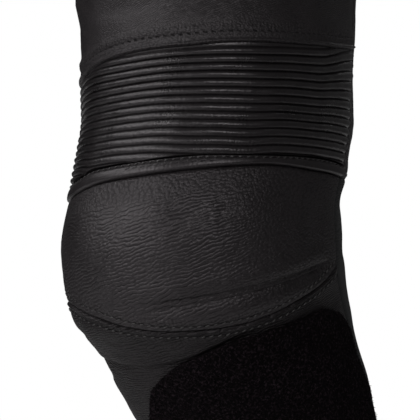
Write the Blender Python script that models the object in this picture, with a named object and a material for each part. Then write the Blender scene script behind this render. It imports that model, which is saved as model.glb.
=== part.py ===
"""Leather motorcycle trousers with pre-bent knees, filled out as if worn.

Metres, +Z up. The wearer faces -Y and the wearer's left leg is at +X. The origin is the middle
of the waist opening, level with the waistband's top edge.

Every panel is a wall on one surface, cloth(face, t, s). The face is "front" or "back", t runs
from 0 at the side seam to 1 at the inseam (above the crotch, at the middle seam), and s is the
way down the leg from the crotch, negative above it. Panels end 0.3 mm apart at their seams.
"""
from collections import namedtuple
from math import radians

import bmesh
import bpy
import numpy as np
from mathutils import Matrix, Vector

# ---------------------------------------------------------------- driving dimensions

RISE = 0.265                # waistband's top edge down to the crotch
LEG_CENTRE = 0.102          # a leg's middle from the middle plane, at the crotch
LEG_LENGTH = 0.720          # crotch to hem, along the leg's axis
BAND_HEIGHT = 0.040         # the waistband

THIGH_LEAN = radians(11)    # outward
THIGH_PITCH = radians(16.5)  # forward
SHIN_LEAN = radians(10)
SHIN_PITCH = radians(-17)
KNEE_AT = 0.360             # along the leg's axis
KNEE_REACH = 0.080          # how far the knee's bend runs above and below that
HIP_REACH = 0.120           # how far below the crotch the axis turns from upright to that lean

LEG_ROUNDNESS = 2.2         # superellipse power of a leg's section
TORSO_ROUNDNESS = 2.4

LEATHER = 0.0013            # wall thicknesses
STRETCH = 0.0013
SEAM_GAP = 0.0003
HEM_FOLD = 0.0060           # the folded thigh hem's height, and how far it stands out
HEM_PROUD = 0.0012
KNEE_BAND_PROUD = 0.0016

RIBS = 13                   # stretch ribs above the knee
RIB_LOW = 0.0002            # outer face of a rib's valley and crest, from the cloth's surface
RIB_HIGH = 0.0020

PATCH_THICKNESS = 0.0022
PLACKET_THICKNESS = 0.0014
PLACKET_LENGTH = 0.125      # down from the waistband
TAB_THICKNESS = 0.0020
TAB_MARGIN = 0.0040         # waistband left bare above and below the tab
SNAP_RADIUS = 0.0075
SNAP_HEIGHT = 0.0025

FRONT_COLUMNS = 11
BACK_COLUMNS = 7
PATCH_COLUMNS = 7           # of the front's columns, from the side seam
PLACKET_COLUMNS = 2         # of the front's columns, from the middle seam
THIGH_ROWS, CUP_ROWS, FOLD_ROWS, PATCH_ROWS, CALF_ROWS = 6, 6, 2, 4, 4
BACK_RIB_ROWS = 9           # the back panel's rows beside the ribs

LegSection = namedtuple("LegSection", "s ahead outer inner front back")
LEG = [  # ahead is how far the section's middle stands before the axis
    LegSection(0.000, 0.000, 0.094, 0.102, 0.099, 0.117),
    LegSection(0.015, 0.000, 0.094, 0.102, 0.099, 0.117),
    LegSection(0.100, 0.002, 0.093, 0.091, 0.099, 0.109),
    LegSection(0.180, 0.004, 0.088, 0.085, 0.096, 0.097),
    LegSection(0.240, 0.000, 0.080, 0.078, 0.089, 0.087),
    LegSection(0.290, 0.000, 0.079, 0.077, 0.088, 0.082),
    LegSection(0.325, 0.010, 0.080, 0.078, 0.091, 0.078),
    LegSection(0.355, 0.026, 0.080, 0.079, 0.093, 0.076),
    LegSection(0.380, 0.028, 0.078, 0.077, 0.090, 0.073),
    LegSection(0.400, 0.021, 0.072, 0.071, 0.081, 0.068),
    LegSection(0.425, 0.020, 0.069, 0.067, 0.072, 0.067),
    LegSection(0.455, 0.020, 0.066, 0.063, 0.064, 0.067),
    LegSection(0.490, 0.026, 0.066, 0.063, 0.063, 0.072),
    LegSection(0.530, 0.034, 0.064, 0.061, 0.062, 0.073),
    LegSection(0.630, 0.034, 0.056, 0.054, 0.056, 0.063),
    LegSection(0.720, 0.030, 0.052, 0.052, 0.054, 0.056),
]

TorsoSection = namedtuple("TorsoSection", "depth half_width front back")
TORSO = [  # depth is below the waist
    TorsoSection(0.000, 0.150, 0.105, 0.105),
    TorsoSection(0.040, 0.153, 0.108, 0.108),
    TorsoSection(0.100, 0.166, 0.112, 0.124),
    TorsoSection(0.180, 0.182, 0.113, 0.138),
    TorsoSection(0.265, 0.182, 0.110, 0.130),
]

SeamAngle = namedtuple("SeamAngle", "s side inseam")
SEAM_ANGLES = [  # degrees round the leg from its front, outward positive
    SeamAngle(0.000, 90, -90),
    SeamAngle(0.150, 102, -95),
    SeamAngle(0.250, 113, -100),
    SeamAngle(0.310, 105, -102),
    SeamAngle(0.390, 101, -102),
    SeamAngle(0.430, 106, -100),
    SeamAngle(0.470, 114, -98),
    SeamAngle(0.550, 114, -96),
    SeamAngle(0.720, 105, -95),
]

Cut = namedtuple("Cut", "t s")
THIGH_HEM = [Cut(0.0, 0.251), Cut(0.1, 0.258), Cut(0.2, 0.263), Cut(0.3, 0.265), Cut(0.66, 0.265),
             Cut(0.8, 0.270), Cut(1.0, 0.270)]
BAND_TOP = [Cut(0.0, 0.327), Cut(0.1, 0.3245), Cut(0.25, 0.3240), Cut(0.4, 0.3228), Cut(0.6, 0.3230),
            Cut(0.67, 0.3250), Cut(1.0, 0.329)]
BAND_EDGE = [Cut(0.0, 0.334), Cut(0.1, 0.3315), Cut(0.25, 0.3285), Cut(0.55, 0.329),
             Cut(0.75, 0.333), Cut(1.0, 0.336)]
CUP_SEAM = [Cut(0.0, 0.383), Cut(0.1, 0.389), Cut(0.25, 0.392), Cut(0.45, 0.387),
            Cut(0.6, 0.378), Cut(0.72, 0.374), Cut(1.0, 0.376)]
KNEE_FOLD = [Cut(0.0, 0.391), Cut(0.2, 0.396), Cut(0.45, 0.398), Cut(0.65, 0.396), Cut(1.0, 0.394)]
PATCH_TOP = [Cut(0.0, 0.420), Cut(0.1, 0.402), Cut(0.3, 0.401), Cut(0.45, 0.405),
             Cut(0.55, 0.415), Cut(0.64, 0.436), Cut(0.8, 0.422), Cut(1.0, 0.420)]
PATCH_FOOT = [Cut(0.0, 0.520), Cut(0.1, 0.534), Cut(0.5, 0.536), Cut(0.64, 0.520), Cut(1.0, 0.520)]
HEM = [Cut(0.0, LEG_LENGTH), Cut(1.0, LEG_LENGTH)]
CROTCH = [Cut(0.0, 0.0), Cut(1.0, 0.0)]

Fold = namedtuple("Fold", "line depth half_height start end")
FOLDS = [
    Fold(KNEE_FOLD, 0.0045, 0.0050, 0.22, 0.80),        # under the knee cup's bulge
    Fold([Cut(0.0, 0.376), Cut(1.0, 0.372)], 0.0012, 0.0025, 0.04, 0.60),   # just above its seam
]

Look = namedtuple("Look", "red green blue roughness metallic")
LEATHER_LOOK = Look(0.030, 0.028, 0.028, 0.42, 0.0)
RIB_LOOK = Look(0.026, 0.025, 0.025, 0.45, 0.0)
STRETCH_LOOK = Look(0.012, 0.012, 0.013, 0.80, 0.0)
PILE_LOOK = Look(0.007, 0.007, 0.008, 0.95, 0.0)
SNAP_LOOK = Look(0.050, 0.050, 0.055, 0.35, 1.0)

# ---------------------------------------------------------------- the cloth's surface


def smooth(x):
    x = np.clip(x, 0.0, 1.0)
    return x * x * (3 - 2 * x)


def along(rows, column, at):
    """A column of a table at a value of its first column, on a monotone cubic curve."""
    xs = np.array([row[0] for row in rows], float)
    ys = np.array([getattr(row, column) for row in rows], float)
    step = np.diff(xs)
    slope = np.diff(ys) / step
    tangent = np.concatenate([slope[:1], np.zeros(len(xs) - 2), slope[-1:]])
    for k in range(1, len(xs) - 1):
        if slope[k - 1] * slope[k] > 0:
            before = 2 * step[k] + step[k - 1]
            after = step[k] + 2 * step[k - 1]
            tangent[k] = (before + after) / (before / slope[k - 1] + after / slope[k])
    at = np.clip(np.asarray(at, float), xs[0], xs[-1])
    k = np.clip(np.searchsorted(xs, at, side="right") - 1, 0, len(xs) - 2)
    x = (at - xs[k]) / step[k]
    start = (2 * x**3 - 3 * x**2 + 1) * ys[k] + (x**3 - 2 * x**2 + x) * step[k] * tangent[k]
    end = (3 * x**2 - 2 * x**3) * ys[k + 1] + (x**3 - x**2) * step[k] * tangent[k + 1]
    return start + end


def leg_angles(s):
    """The axis's lean and pitch: upright at the hip, then the thigh's, then the shin's."""
    hip = smooth(s / HIP_REACH)
    knee = smooth((s - KNEE_AT + KNEE_REACH) / (2 * KNEE_REACH))
    lean = (THIGH_LEAN + (SHIN_LEAN - THIGH_LEAN) * knee) * hip
    pitch = (THIGH_PITCH + (SHIN_PITCH - THIGH_PITCH) * knee) * hip
    return lean, pitch


def leg_axis():
    """Points every 2 mm down the left leg's axis, and their s."""
    s = np.linspace(0.0, LEG_LENGTH, 361)
    lean, pitch = leg_angles(s)
    way = np.stack([np.tan(lean), -np.tan(pitch), -np.ones_like(s)], axis=-1)
    way /= np.linalg.norm(way, axis=-1, keepdims=True)
    steps = (way[1:] + way[:-1]) / 2 * (s[1] - s[0])
    start = np.array([[LEG_CENTRE, 0.0, -RISE]])
    return s, np.concatenate([start, start + np.cumsum(steps, axis=0)])


AXIS_S, AXIS_POINTS = leg_axis()


def power_wave(value, roundness):
    return np.sign(value) * np.abs(value) ** (2 / roundness)


def leg_surface(angle, s):
    """A point of the left leg: angle from its front, outward positive, and s down its axis."""
    across = power_wave(np.sin(angle), LEG_ROUNDNESS)
    forward = power_wave(np.cos(angle), LEG_ROUNDNESS)
    across = across * np.where(across > 0, along(LEG, "outer", s), along(LEG, "inner", s))
    forward = forward * np.where(forward > 0, along(LEG, "front", s), along(LEG, "back", s))
    forward = forward + along(LEG, "ahead", s)
    lean, pitch = leg_angles(s)
    level = np.zeros_like(lean)
    outward_axis = np.stack([np.cos(lean), level, np.sin(lean)], axis=-1)
    forward_axis = np.stack([level, -np.cos(pitch), np.sin(pitch)], axis=-1)
    axis = np.stack([np.interp(s, AXIS_S, AXIS_POINTS[:, k]) for k in range(3)], axis=-1)
    return axis + across[..., None] * outward_axis + forward[..., None] * forward_axis


def torso_curve(face, t, depth):
    """x and y on a quarter of the torso's section, from the side (t = 0) to the middle."""
    turn = t * np.pi / 2
    reach = along(TORSO, face, depth) * (-1 if face == "front" else 1)
    x = along(TORSO, "half_width", depth) * power_wave(np.cos(turn), TORSO_ROUNDNESS)
    return x, reach * power_wave(np.sin(turn), TORSO_ROUNDNESS)


def cloth(face, t, s):
    """A point of the left half's surface. Above the crotch the leg turns into the torso."""
    t, s = np.broadcast_arrays(np.asarray(t, float), np.asarray(s, float))
    down = np.maximum(s, 0.0)
    side = along(SEAM_ANGLES, "side", down)
    inseam = along(SEAM_ANGLES, "inseam", down) + (0 if face == "front" else 360)
    leg = leg_surface(np.radians(side + (inseam - side) * t), down)
    rise = np.clip(-s / RISE, 0.0, 1.0)
    middle_reach = 0.60 if face == "front" else 0.75     # height of the crotch curve, of the rise
    middle = np.sqrt(1 - (1 - np.minimum(rise / middle_reach, 1)) ** 2)
    blend = (1 - t**3) * smooth(rise) + t**3 * middle
    x, y = torso_curve(face, t, RISE * (1 - rise))
    torso = np.stack([x, y, leg[..., 2]], axis=-1)
    point = leg + (torso - leg) * blend[..., None]
    point[..., 2] *= 1 - rise
    return point


def relief(face, t, s):
    """How far the largest folds move the surface out."""
    if face == "back":
        return np.zeros_like(s)
    total = np.zeros_like(s)
    for fold in FOLDS:
        ends = smooth((t - fold.start) / 0.12) * smooth((fold.end - t) / 0.12)
        away = (s - along(fold.line, "s", t)) / fold.half_height
        total = total - fold.depth * ends * np.exp(-away**2)
    return total


def slopes(face, t, s):
    """The surface's change for each unit of t and of s."""
    small_t, small_s = 1e-3, 2e-4
    low, high = np.maximum(t - small_t, 0), np.minimum(t + small_t, 1)
    by_t = (cloth(face, high, s) - cloth(face, low, s)) / (high - low)[..., None]
    by_s = (cloth(face, t, s + small_s) - cloth(face, t, s - small_s)) / (2 * small_s)
    return by_t, by_s


def outward(face, t, s):
    by_t, by_s = slopes(face, t, s)
    normal = np.cross(by_t, by_s) * (1 if face == "front" else -1)
    return normal / np.linalg.norm(normal, axis=-1, keepdims=True)

# ---------------------------------------------------------------- making the solids


def material(name, look):
    finish = bpy.data.materials.new(name)
    finish.use_nodes = True
    shader = finish.node_tree.nodes["Principled BSDF"]
    shader.inputs["Base Color"].default_value = (look.red, look.green, look.blue, 1)
    shader.inputs["Roughness"].default_value = look.roughness
    shader.inputs["Metallic"].default_value = look.metallic
    finish.diffuse_color = (look.red, look.green, look.blue, 1)
    return finish


def add_object(name, bm, look):
    bmesh.ops.recalc_face_normals(bm, faces=bm.faces)
    mesh = bpy.data.meshes.new(name)
    bm.to_mesh(mesh)
    bm.free()
    mesh.materials.append(material(name, look))
    mesh.shade_smooth()
    mesh.set_sharp_from_angle(angle=radians(40))
    made = bpy.data.objects.new(name, mesh)
    bpy.context.scene.collection.objects.link(made)
    return made


def wall(name, outer, inner, look):
    """A closed wall between two grids of points, each of the same rows and columns."""
    rows, columns = outer.shape[:2]
    bm = bmesh.new()
    grids = [[[bm.verts.new(point) for point in row] for row in grid] for grid in (outer, inner)]
    out, into = grids
    for i in range(rows - 1):
        for j in range(columns - 1):
            for grid in grids:
                bm.faces.new((grid[i][j], grid[i][j + 1], grid[i + 1][j + 1], grid[i + 1][j]))
    for i in range(rows - 1):
        for j in (0, columns - 1):
            bm.faces.new((out[i][j], out[i + 1][j], into[i + 1][j], into[i][j]))
    for j in range(columns - 1):
        for i in (0, rows - 1):
            bm.faces.new((out[i][j], out[i][j + 1], into[i][j + 1], into[i][j]))
    return add_object(name, bm, look)


def front_columns():
    return np.linspace(0, 1, FRONT_COLUMNS + 1)


def back_columns():
    return np.linspace(0, 1, BACK_COLUMNS + 1)


def row_lines(columns, *stretches):
    """s for each row and column, from (top cut, bottom cut, rows between) stretches."""
    lines = []
    for top, bottom, count in stretches:
        upper, lower = along(top, "s", columns), along(bottom, "s", columns)
        lines += [upper + (lower - upper) * k / count for k in range(count)]
    lines.append(along(stretches[-1][1], "s", columns))
    return np.array(lines)


def back_cut(cut):
    """A cut's line across the back, straight between its two ends on the front."""
    return [cut[0], cut[-1]]


def seam_grid(face, columns, s):
    """t and s of a panel's points, with its edges half a gap inside its seams."""
    t = np.broadcast_to(columns, s.shape).copy()
    s = s.copy()
    by_t, by_s = slopes(face, t, s)
    half_gap = SEAM_GAP / 2
    t_gap = half_gap / np.linalg.norm(by_t, axis=-1)
    s_gap = half_gap / np.linalg.norm(by_s, axis=-1)
    t[:, 0] += t_gap[:, 0] * (columns[0] == 0)
    t[:, -1] -= t_gap[:, -1] * (columns[-1] == 1)
    s[0] += s_gap[0]
    s[-1] -= s_gap[-1]
    return t, s


def shell(face, t, s, out, thickness):
    """Outer and inner points, out (a number or a grid) beyond the surface and its folds."""
    base = cloth(face, t, s)
    normal = outward(face, t, s)
    height = relief(face, t, s) + out
    outer = base + normal * height[..., None]
    inner = base + normal * (height - thickness)[..., None]
    for grid in (outer, inner):
        grid[..., 0] = np.maximum(grid[..., 0], SEAM_GAP / 2)
    return outer, inner


def both_sides(name, outer, inner, look):
    """The left piece, and its mirror image as the right one."""
    wall("left_" + name, outer, inner, look)
    flip = np.array([-1.0, 1.0, 1.0])
    wall("right_" + name, outer * flip, inner * flip, look)

# ---------------------------------------------------------------- the pieces


def hip_rows(columns):
    """Rows from the waist seam to the crotch, closer together near the crotch's curve."""
    top = BAND_HEIGHT - RISE
    fractions = (1.0, 0.83, 0.66, 0.50, 0.35, 0.21, 0.10, 0.03)
    return np.array([np.full(len(columns), top * fraction) for fraction in fractions])


def thigh_front():
    columns = front_columns()
    thigh = row_lines(columns, (CROTCH, THIGH_HEM, THIGH_ROWS))
    hem_step = thigh[-1:] - HEM_FOLD
    t, s = seam_grid("front", columns,
                     np.concatenate([hip_rows(columns), thigh[:-1], hem_step, thigh[-1:]]))
    out = np.zeros_like(s)
    out[-2:] = HEM_PROUD
    outer, inner = shell("front", t, s, out, LEATHER)
    inner = inner - outward("front", t, s) * out[..., None]
    both_sides("thigh_front", outer, inner, LEATHER_LOOK)


def thigh_back():
    columns = back_columns()
    hem, band_top, band_edge = (back_cut(cut) for cut in (THIGH_HEM, BAND_TOP, BAND_EDGE))
    thigh = row_lines(columns, (CROTCH, hem, THIGH_ROWS), (hem, band_top, BACK_RIB_ROWS),
                      (band_top, band_edge, 1))
    hem_step = thigh[THIGH_ROWS][None] - HEM_FOLD
    t, s = seam_grid("back", columns, np.concatenate(
        [hip_rows(columns), thigh[:THIGH_ROWS], hem_step, thigh[THIGH_ROWS:]]))
    outer, inner = shell("back", t, s, 0.0, LEATHER)
    both_sides("thigh_back", outer, inner, LEATHER_LOOK)


def accordion():
    columns = front_columns()
    t, s = seam_grid("front", columns, row_lines(columns, (THIGH_HEM, BAND_TOP, 2 * RIBS)))
    out = np.full(s.shape, RIB_LOW)
    out[1::2] = RIB_HIGH
    outer, inner = shell("front", t, s, out, STRETCH)
    inner = inner - outward("front", t, s) * out[..., None]
    both_sides("accordion", outer, inner, RIB_LOOK)


def knee_band():
    columns = front_columns()
    t, s = seam_grid("front", columns, row_lines(columns, (BAND_TOP, BAND_EDGE, 1)))
    outer, inner = shell("front", t, s, KNEE_BAND_PROUD, LEATHER + KNEE_BAND_PROUD)
    both_sides("knee_band", outer, inner, LEATHER_LOOK)


def knee_cup():
    columns = front_columns()
    t, s = seam_grid("front", columns, row_lines(columns, (BAND_EDGE, CUP_SEAM, CUP_ROWS)))
    outer, inner = shell("front", t, s, 0.0, LEATHER)
    both_sides("knee_cup", outer, inner, LEATHER_LOOK)


def shin_grid():
    columns = front_columns()
    rows = row_lines(columns, (CUP_SEAM, KNEE_FOLD, FOLD_ROWS), (KNEE_FOLD, PATCH_TOP, 1),
                     (PATCH_TOP, PATCH_FOOT, PATCH_ROWS), (PATCH_FOOT, HEM, CALF_ROWS))
    return seam_grid("front", columns, rows)


def shin_front():
    t, s = shin_grid()
    outer, inner = shell("front", t, s, 0.0, LEATHER)
    both_sides("shin_front", outer, inner, LEATHER_LOOK)


def loop_patch():
    """The hook-and-loop patch for a knee slider, made from the shin panel's own points."""
    t, s = shin_grid()
    first = FOLD_ROWS + 1
    patch_rows = slice(first, first + PATCH_ROWS + 1)
    patch_columns = slice(0, PATCH_COLUMNS + 1)
    t, s = t[patch_rows, patch_columns], s[patch_rows, patch_columns]
    outer, inner = shell("front", t, s, SEAM_GAP + PATCH_THICKNESS, PATCH_THICKNESS)
    both_sides("loop_patch", outer, inner, PILE_LOOK)


def calf_back():
    columns = back_columns()
    edge, seam, fold, top, foot = (
        back_cut(cut) for cut in (BAND_EDGE, CUP_SEAM, KNEE_FOLD, PATCH_TOP, PATCH_FOOT))
    rows = row_lines(columns, (edge, seam, CUP_ROWS), (seam, fold, FOLD_ROWS), (fold, top, 1),
                     (top, foot, PATCH_ROWS), (foot, HEM, CALF_ROWS))
    t, s = seam_grid("back", columns, rows)
    outer, inner = shell("back", t, s, 0.0, STRETCH)
    both_sides("calf_back", outer, inner, STRETCH_LOOK)


def waist_ring(heights, out):
    """Points all round the waist, from the middle front round the left side and back to it."""
    s = np.array(heights)[:, None] - RISE
    stretches = []
    for face, columns in (("front", front_columns()[::-1]), ("back", back_columns()[1:])):
        t = np.broadcast_to(columns, (len(heights), len(columns)))
        level = np.broadcast_to(s, t.shape)
        stretches.append(cloth(face, t, level) + outward(face, t, level) * out)
    left = np.concatenate(stretches, axis=1)
    right = left[:, ::-1][:, 1:] * np.array([-1.0, 1.0, 1.0])
    ring = np.concatenate([left, right], axis=1)
    ring[:, 0, 0] = SEAM_GAP
    ring[:, -1, 0] = -SEAM_GAP
    return ring


def waistband():
    heights = (0.0, TAB_MARGIN, BAND_HEIGHT - TAB_MARGIN, BAND_HEIGHT - SEAM_GAP / 2)
    wall("waistband", waist_ring(heights, LEATHER), waist_ring(heights, -LEATHER), LEATHER_LOOK)


def waist_tab():
    """The tab that closes the waistband, from its points moved out. Returns its outer points."""
    heights = (TAB_MARGIN, BAND_HEIGHT - TAB_MARGIN)

    def across_the_middle(out):
        ring = waist_ring(heights, out)
        return np.concatenate([ring[:, -2:], ring[:, 1:PLACKET_COLUMNS + 1]], axis=1)

    low = LEATHER + SEAM_GAP
    outer = across_the_middle(low + TAB_THICKNESS)
    wall("waist_tab", outer, across_the_middle(low), LEATHER_LOOK)
    return outer


def snap(tab):
    """A domed snap on the tab's facet on the right of the middle."""
    right_top, middle_top, middle_foot, right_foot = (
        Vector(tab[i, j]) for i, j in ((0, 0), (0, 1), (-1, 1), (-1, 0)))
    middle = (right_top + middle_top + middle_foot + right_foot) / 4
    normal = (right_top - right_foot).cross(right_top - middle_top).normalized()
    bm = bmesh.new()
    bmesh.ops.create_cone(bm, cap_ends=True, segments=24, radius1=SNAP_RADIUS,
                          radius2=SNAP_RADIUS * 0.7, depth=SNAP_HEIGHT)
    centre = middle + normal * (2 * SEAM_GAP + SNAP_HEIGHT / 2)
    turn = normal.to_track_quat("Z", "Y").to_matrix().to_4x4()
    bmesh.ops.transform(bm, matrix=Matrix.Translation(centre) @ turn, verts=bm.verts)
    add_object("snap", bm, SNAP_LOOK)


def fly_placket():
    """The strip over the fly, on the left front beside the middle seam."""
    columns = front_columns()[-1 - PLACKET_COLUMNS:]
    s = hip_rows(columns)
    s = s[s[:, 0] < BAND_HEIGHT + PLACKET_LENGTH - RISE]
    t, s = seam_grid("front", columns, s)
    outer, inner = shell("front", t, s, SEAM_GAP + PLACKET_THICKNESS, PLACKET_THICKNESS)
    wall("fly_placket", outer, inner, LEATHER_LOOK)


def main():
    for old in list(bpy.data.objects):
        bpy.data.objects.remove(old, do_unlink=True)
    waistband()
    snap(waist_tab())
    fly_placket()
    thigh_front()
    thigh_back()
    accordion()
    knee_band()
    knee_cup()
    shin_front()
    loop_patch()
    calf_back()


main()
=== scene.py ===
"""Fine surfaces, sewing, finishes and studio for a pair of leather motorcycle trousers.

Metres, +Z up. The wearer faces -Y and the wearer's left leg is at +X. Every panel lies on
cloth(face, t, s), the surface that the solid trousers are cut from: t runs from 0 at the side
seam to 1 at the inseam or middle seam, and s is the way down the leg from the crotch.
"""

from collections import namedtuple
from inspect import signature
from math import cos, pi, radians, sin

import bmesh
import bpy
import numpy as np
from bpy.props import FloatProperty, FloatVectorProperty, IntProperty, PointerProperty
from mathutils import Matrix, Vector


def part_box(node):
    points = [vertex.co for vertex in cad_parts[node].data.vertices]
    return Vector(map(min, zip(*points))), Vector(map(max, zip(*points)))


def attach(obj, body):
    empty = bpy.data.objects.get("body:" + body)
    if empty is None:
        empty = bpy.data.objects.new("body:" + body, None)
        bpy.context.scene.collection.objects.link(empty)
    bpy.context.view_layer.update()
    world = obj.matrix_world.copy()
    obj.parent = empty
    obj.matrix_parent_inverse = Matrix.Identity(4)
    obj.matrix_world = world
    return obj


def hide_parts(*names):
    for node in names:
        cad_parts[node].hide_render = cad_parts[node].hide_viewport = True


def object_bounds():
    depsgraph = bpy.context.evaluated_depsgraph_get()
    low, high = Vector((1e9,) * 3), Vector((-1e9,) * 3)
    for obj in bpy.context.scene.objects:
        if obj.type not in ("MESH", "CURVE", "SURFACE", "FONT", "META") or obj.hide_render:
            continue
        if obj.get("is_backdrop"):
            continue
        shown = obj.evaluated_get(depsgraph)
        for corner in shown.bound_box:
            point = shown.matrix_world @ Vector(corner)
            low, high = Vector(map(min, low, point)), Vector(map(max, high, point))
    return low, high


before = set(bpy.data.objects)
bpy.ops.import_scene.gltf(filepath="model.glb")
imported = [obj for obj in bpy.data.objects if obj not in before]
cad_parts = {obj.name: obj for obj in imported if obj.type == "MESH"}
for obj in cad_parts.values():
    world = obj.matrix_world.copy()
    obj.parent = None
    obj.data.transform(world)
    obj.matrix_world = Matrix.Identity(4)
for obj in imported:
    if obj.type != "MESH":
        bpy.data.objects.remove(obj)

bl_info = {
    "name": "Leather Trousers",
    "version": (1, 0, 0),
    "blender": (4, 5, 0),
    "location": "View3D > Sidebar > Trousers",
    "description": "Makes the fine panels, sewing and finishes of leather motorcycle trousers",
    "category": "Object",
}

BODY = "root"
SIDES = ("left", "right")
EDGES = ("top", "foot", "side", "inseam")
CLOTH_UV = "cloth"              # the panels' own UV map, in metres round and down the leg
CLOTH_MARKS = "cloth_marks"     # distance from a sewn row, stitches along it, and creasing
MIRROR = np.array([-1.0, 1.0, 1.0])     # turns the left half into the right

# ---------------------------------------------------------------- the solid trousers' sizes

RISE = 0.265                # waistband's top edge down to the crotch
LEG_CENTRE = 0.102
LEG_LENGTH = 0.720
BAND_HEIGHT = 0.040
WAIST_S = BAND_HEIGHT - RISE    # s of the waistband's lower edge
THIGH_LEAN = radians(11)
THIGH_PITCH = radians(16.5)
SHIN_LEAN = radians(10)
SHIN_PITCH = radians(-17)
KNEE_AT = 0.360
KNEE_REACH = 0.080
HIP_REACH = 0.120
LEG_ROUNDNESS = 2.2
TORSO_ROUNDNESS = 2.4
LEATHER = 0.0013
STRETCH = 0.0013
SEAM_GAP = 0.0003
HEM_PROUD = 0.0012
KNEE_BAND_PROUD = 0.0016
RIBS = 13
PATCH_THICKNESS = 0.0022
PLACKET_THICKNESS = 0.0014
PLACKET_LENGTH = 0.125
WAIST_TUCK = 0.0014             # how far the waistband's inner edge reaches behind the legs' tops
TAB_THICKNESS = 0.0020
TAB_MARGIN = 0.0040
SNAP_RADIUS = 0.0075
SNAP_HEIGHT = 0.0025


def table(kind, *rows):
    return [kind(*row) for row in rows]


def cuts(*pairs):
    """A line across a panel, from (t, s) pairs."""
    return table(Cut, *pairs)


LegSection = namedtuple("LegSection", "s ahead outer inner front back")
LEG = table(  # ahead is how far the section's middle stands before the axis
    LegSection,
    (0.000, 0.000, 0.094, 0.102, 0.099, 0.117),
    (0.015, 0.000, 0.094, 0.102, 0.099, 0.117),
    (0.100, 0.002, 0.093, 0.091, 0.099, 0.109),
    (0.180, 0.004, 0.088, 0.085, 0.096, 0.097),
    (0.240, 0.000, 0.080, 0.078, 0.089, 0.087),
    (0.290, 0.000, 0.079, 0.077, 0.088, 0.082),
    (0.325, 0.010, 0.080, 0.078, 0.091, 0.078),
    (0.355, 0.026, 0.080, 0.079, 0.093, 0.076),
    (0.380, 0.028, 0.078, 0.077, 0.090, 0.073),
    (0.400, 0.021, 0.072, 0.071, 0.081, 0.068),
    (0.425, 0.020, 0.069, 0.067, 0.072, 0.067),
    (0.455, 0.020, 0.066, 0.063, 0.064, 0.067),
    (0.490, 0.026, 0.066, 0.063, 0.063, 0.072),
    (0.530, 0.034, 0.064, 0.061, 0.062, 0.073),
    (0.630, 0.034, 0.056, 0.054, 0.056, 0.063),
    (0.720, 0.030, 0.052, 0.052, 0.054, 0.056))

TorsoSection = namedtuple("TorsoSection", "depth half_width front back")
TORSO = table(  # depth is below the waist
    TorsoSection,
    (0.000, 0.150, 0.105, 0.105),
    (0.040, 0.153, 0.108, 0.108),
    (0.100, 0.166, 0.112, 0.124),
    (0.180, 0.182, 0.113, 0.138),
    (0.265, 0.182, 0.110, 0.130))

SeamAngle = namedtuple("SeamAngle", "s side inseam")
SEAM_ANGLES = table(  # degrees round the leg from its front, outward positive
    SeamAngle,
    (0.000, 90, -90),
    (0.150, 102, -95),
    (0.250, 113, -100),
    (0.310, 105, -102),
    (0.390, 101, -102),
    (0.430, 106, -100),
    (0.470, 114, -98),
    (0.550, 114, -96),
    (0.720, 105, -95))

Cut = namedtuple("Cut", "t s")
CROTCH = cuts((0.0, 0.0), (1.0, 0.0))
THIGH_HEM = cuts((0.0, 0.2503), (0.1, 0.2571), (0.2, 0.2620), (0.3, 0.2642), (0.37, 0.2652),
                 (0.45, 0.2663), (0.53, 0.2660), (0.61, 0.2670), (0.7, 0.2690), (0.8, 0.2705),
                 (1.0, 0.2700))
BAND_TOP = cuts((0.0, 0.327), (0.1, 0.3245), (0.25, 0.3240), (0.4, 0.3228), (0.6, 0.3230),
                (0.67, 0.3250), (1.0, 0.329))
BAND_EDGE = cuts((0.0, 0.334), (0.1, 0.3315), (0.25, 0.3285), (0.55, 0.329), (0.75, 0.333),
                 (1.0, 0.336))
CUP_SEAM = cuts((0.0, 0.383), (0.1, 0.389), (0.25, 0.392), (0.45, 0.387), (0.6, 0.378),
                (0.72, 0.374), (1.0, 0.376))
KNEE_FOLD = cuts((0.0, 0.391), (0.2, 0.396), (0.45, 0.398), (0.65, 0.396), (1.0, 0.394))
PATCH_TOP = cuts((0.0, 0.418), (0.1, 0.400), (0.3, 0.3985), (0.45, 0.4035), (0.55, 0.415),
                 (0.64, 0.436), (0.8, 0.422), (1.0, 0.420))
PATCH_FOOT = cuts((0.0, 0.520), (0.1, 0.534), (0.5, 0.536), (0.64, 0.520), (1.0, 0.520))
HEM = cuts((0.0, LEG_LENGTH), (1.0, LEG_LENGTH))
CUP_CREASE = cuts((0.0, 0.3775), (0.25, 0.3768), (0.45, 0.3755), (1.0, 0.3740))
FOLD_CREASE = cuts((0.0, 0.3965), (0.25, 0.3970), (0.3, 0.3978), (0.37, 0.4005), (0.43, 0.4026),
                   (0.5, 0.4042), (0.6, 0.4030), (1.0, 0.4010))
RibLine = namedtuple("RibLine", "t first last")
# The lines that the ribs run between. The hem and the knee band cut across them at the sides.
RIB_LINES = table(
    RibLine,
    (0.00, 0.2430, 0.3247), (0.07, 0.2507, 0.3243), (0.135, 0.2600, 0.3237),
    (0.215, 0.2641, 0.3235), (0.28, 0.2662, 0.3240), (0.34, 0.2671, 0.3231),
    (0.40, 0.2674, 0.3221), (0.475, 0.2671, 0.3200), (0.55, 0.2669, 0.3186),
    (0.63, 0.2656, 0.3179), (0.67, 0.2650, 0.3169), (1.00, 0.2630, 0.3130))
PATCH_INSEAM_EDGE = 7 / 11      # t of the patch's edge on the inner side

# ---------------------------------------------------------------- settings


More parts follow.
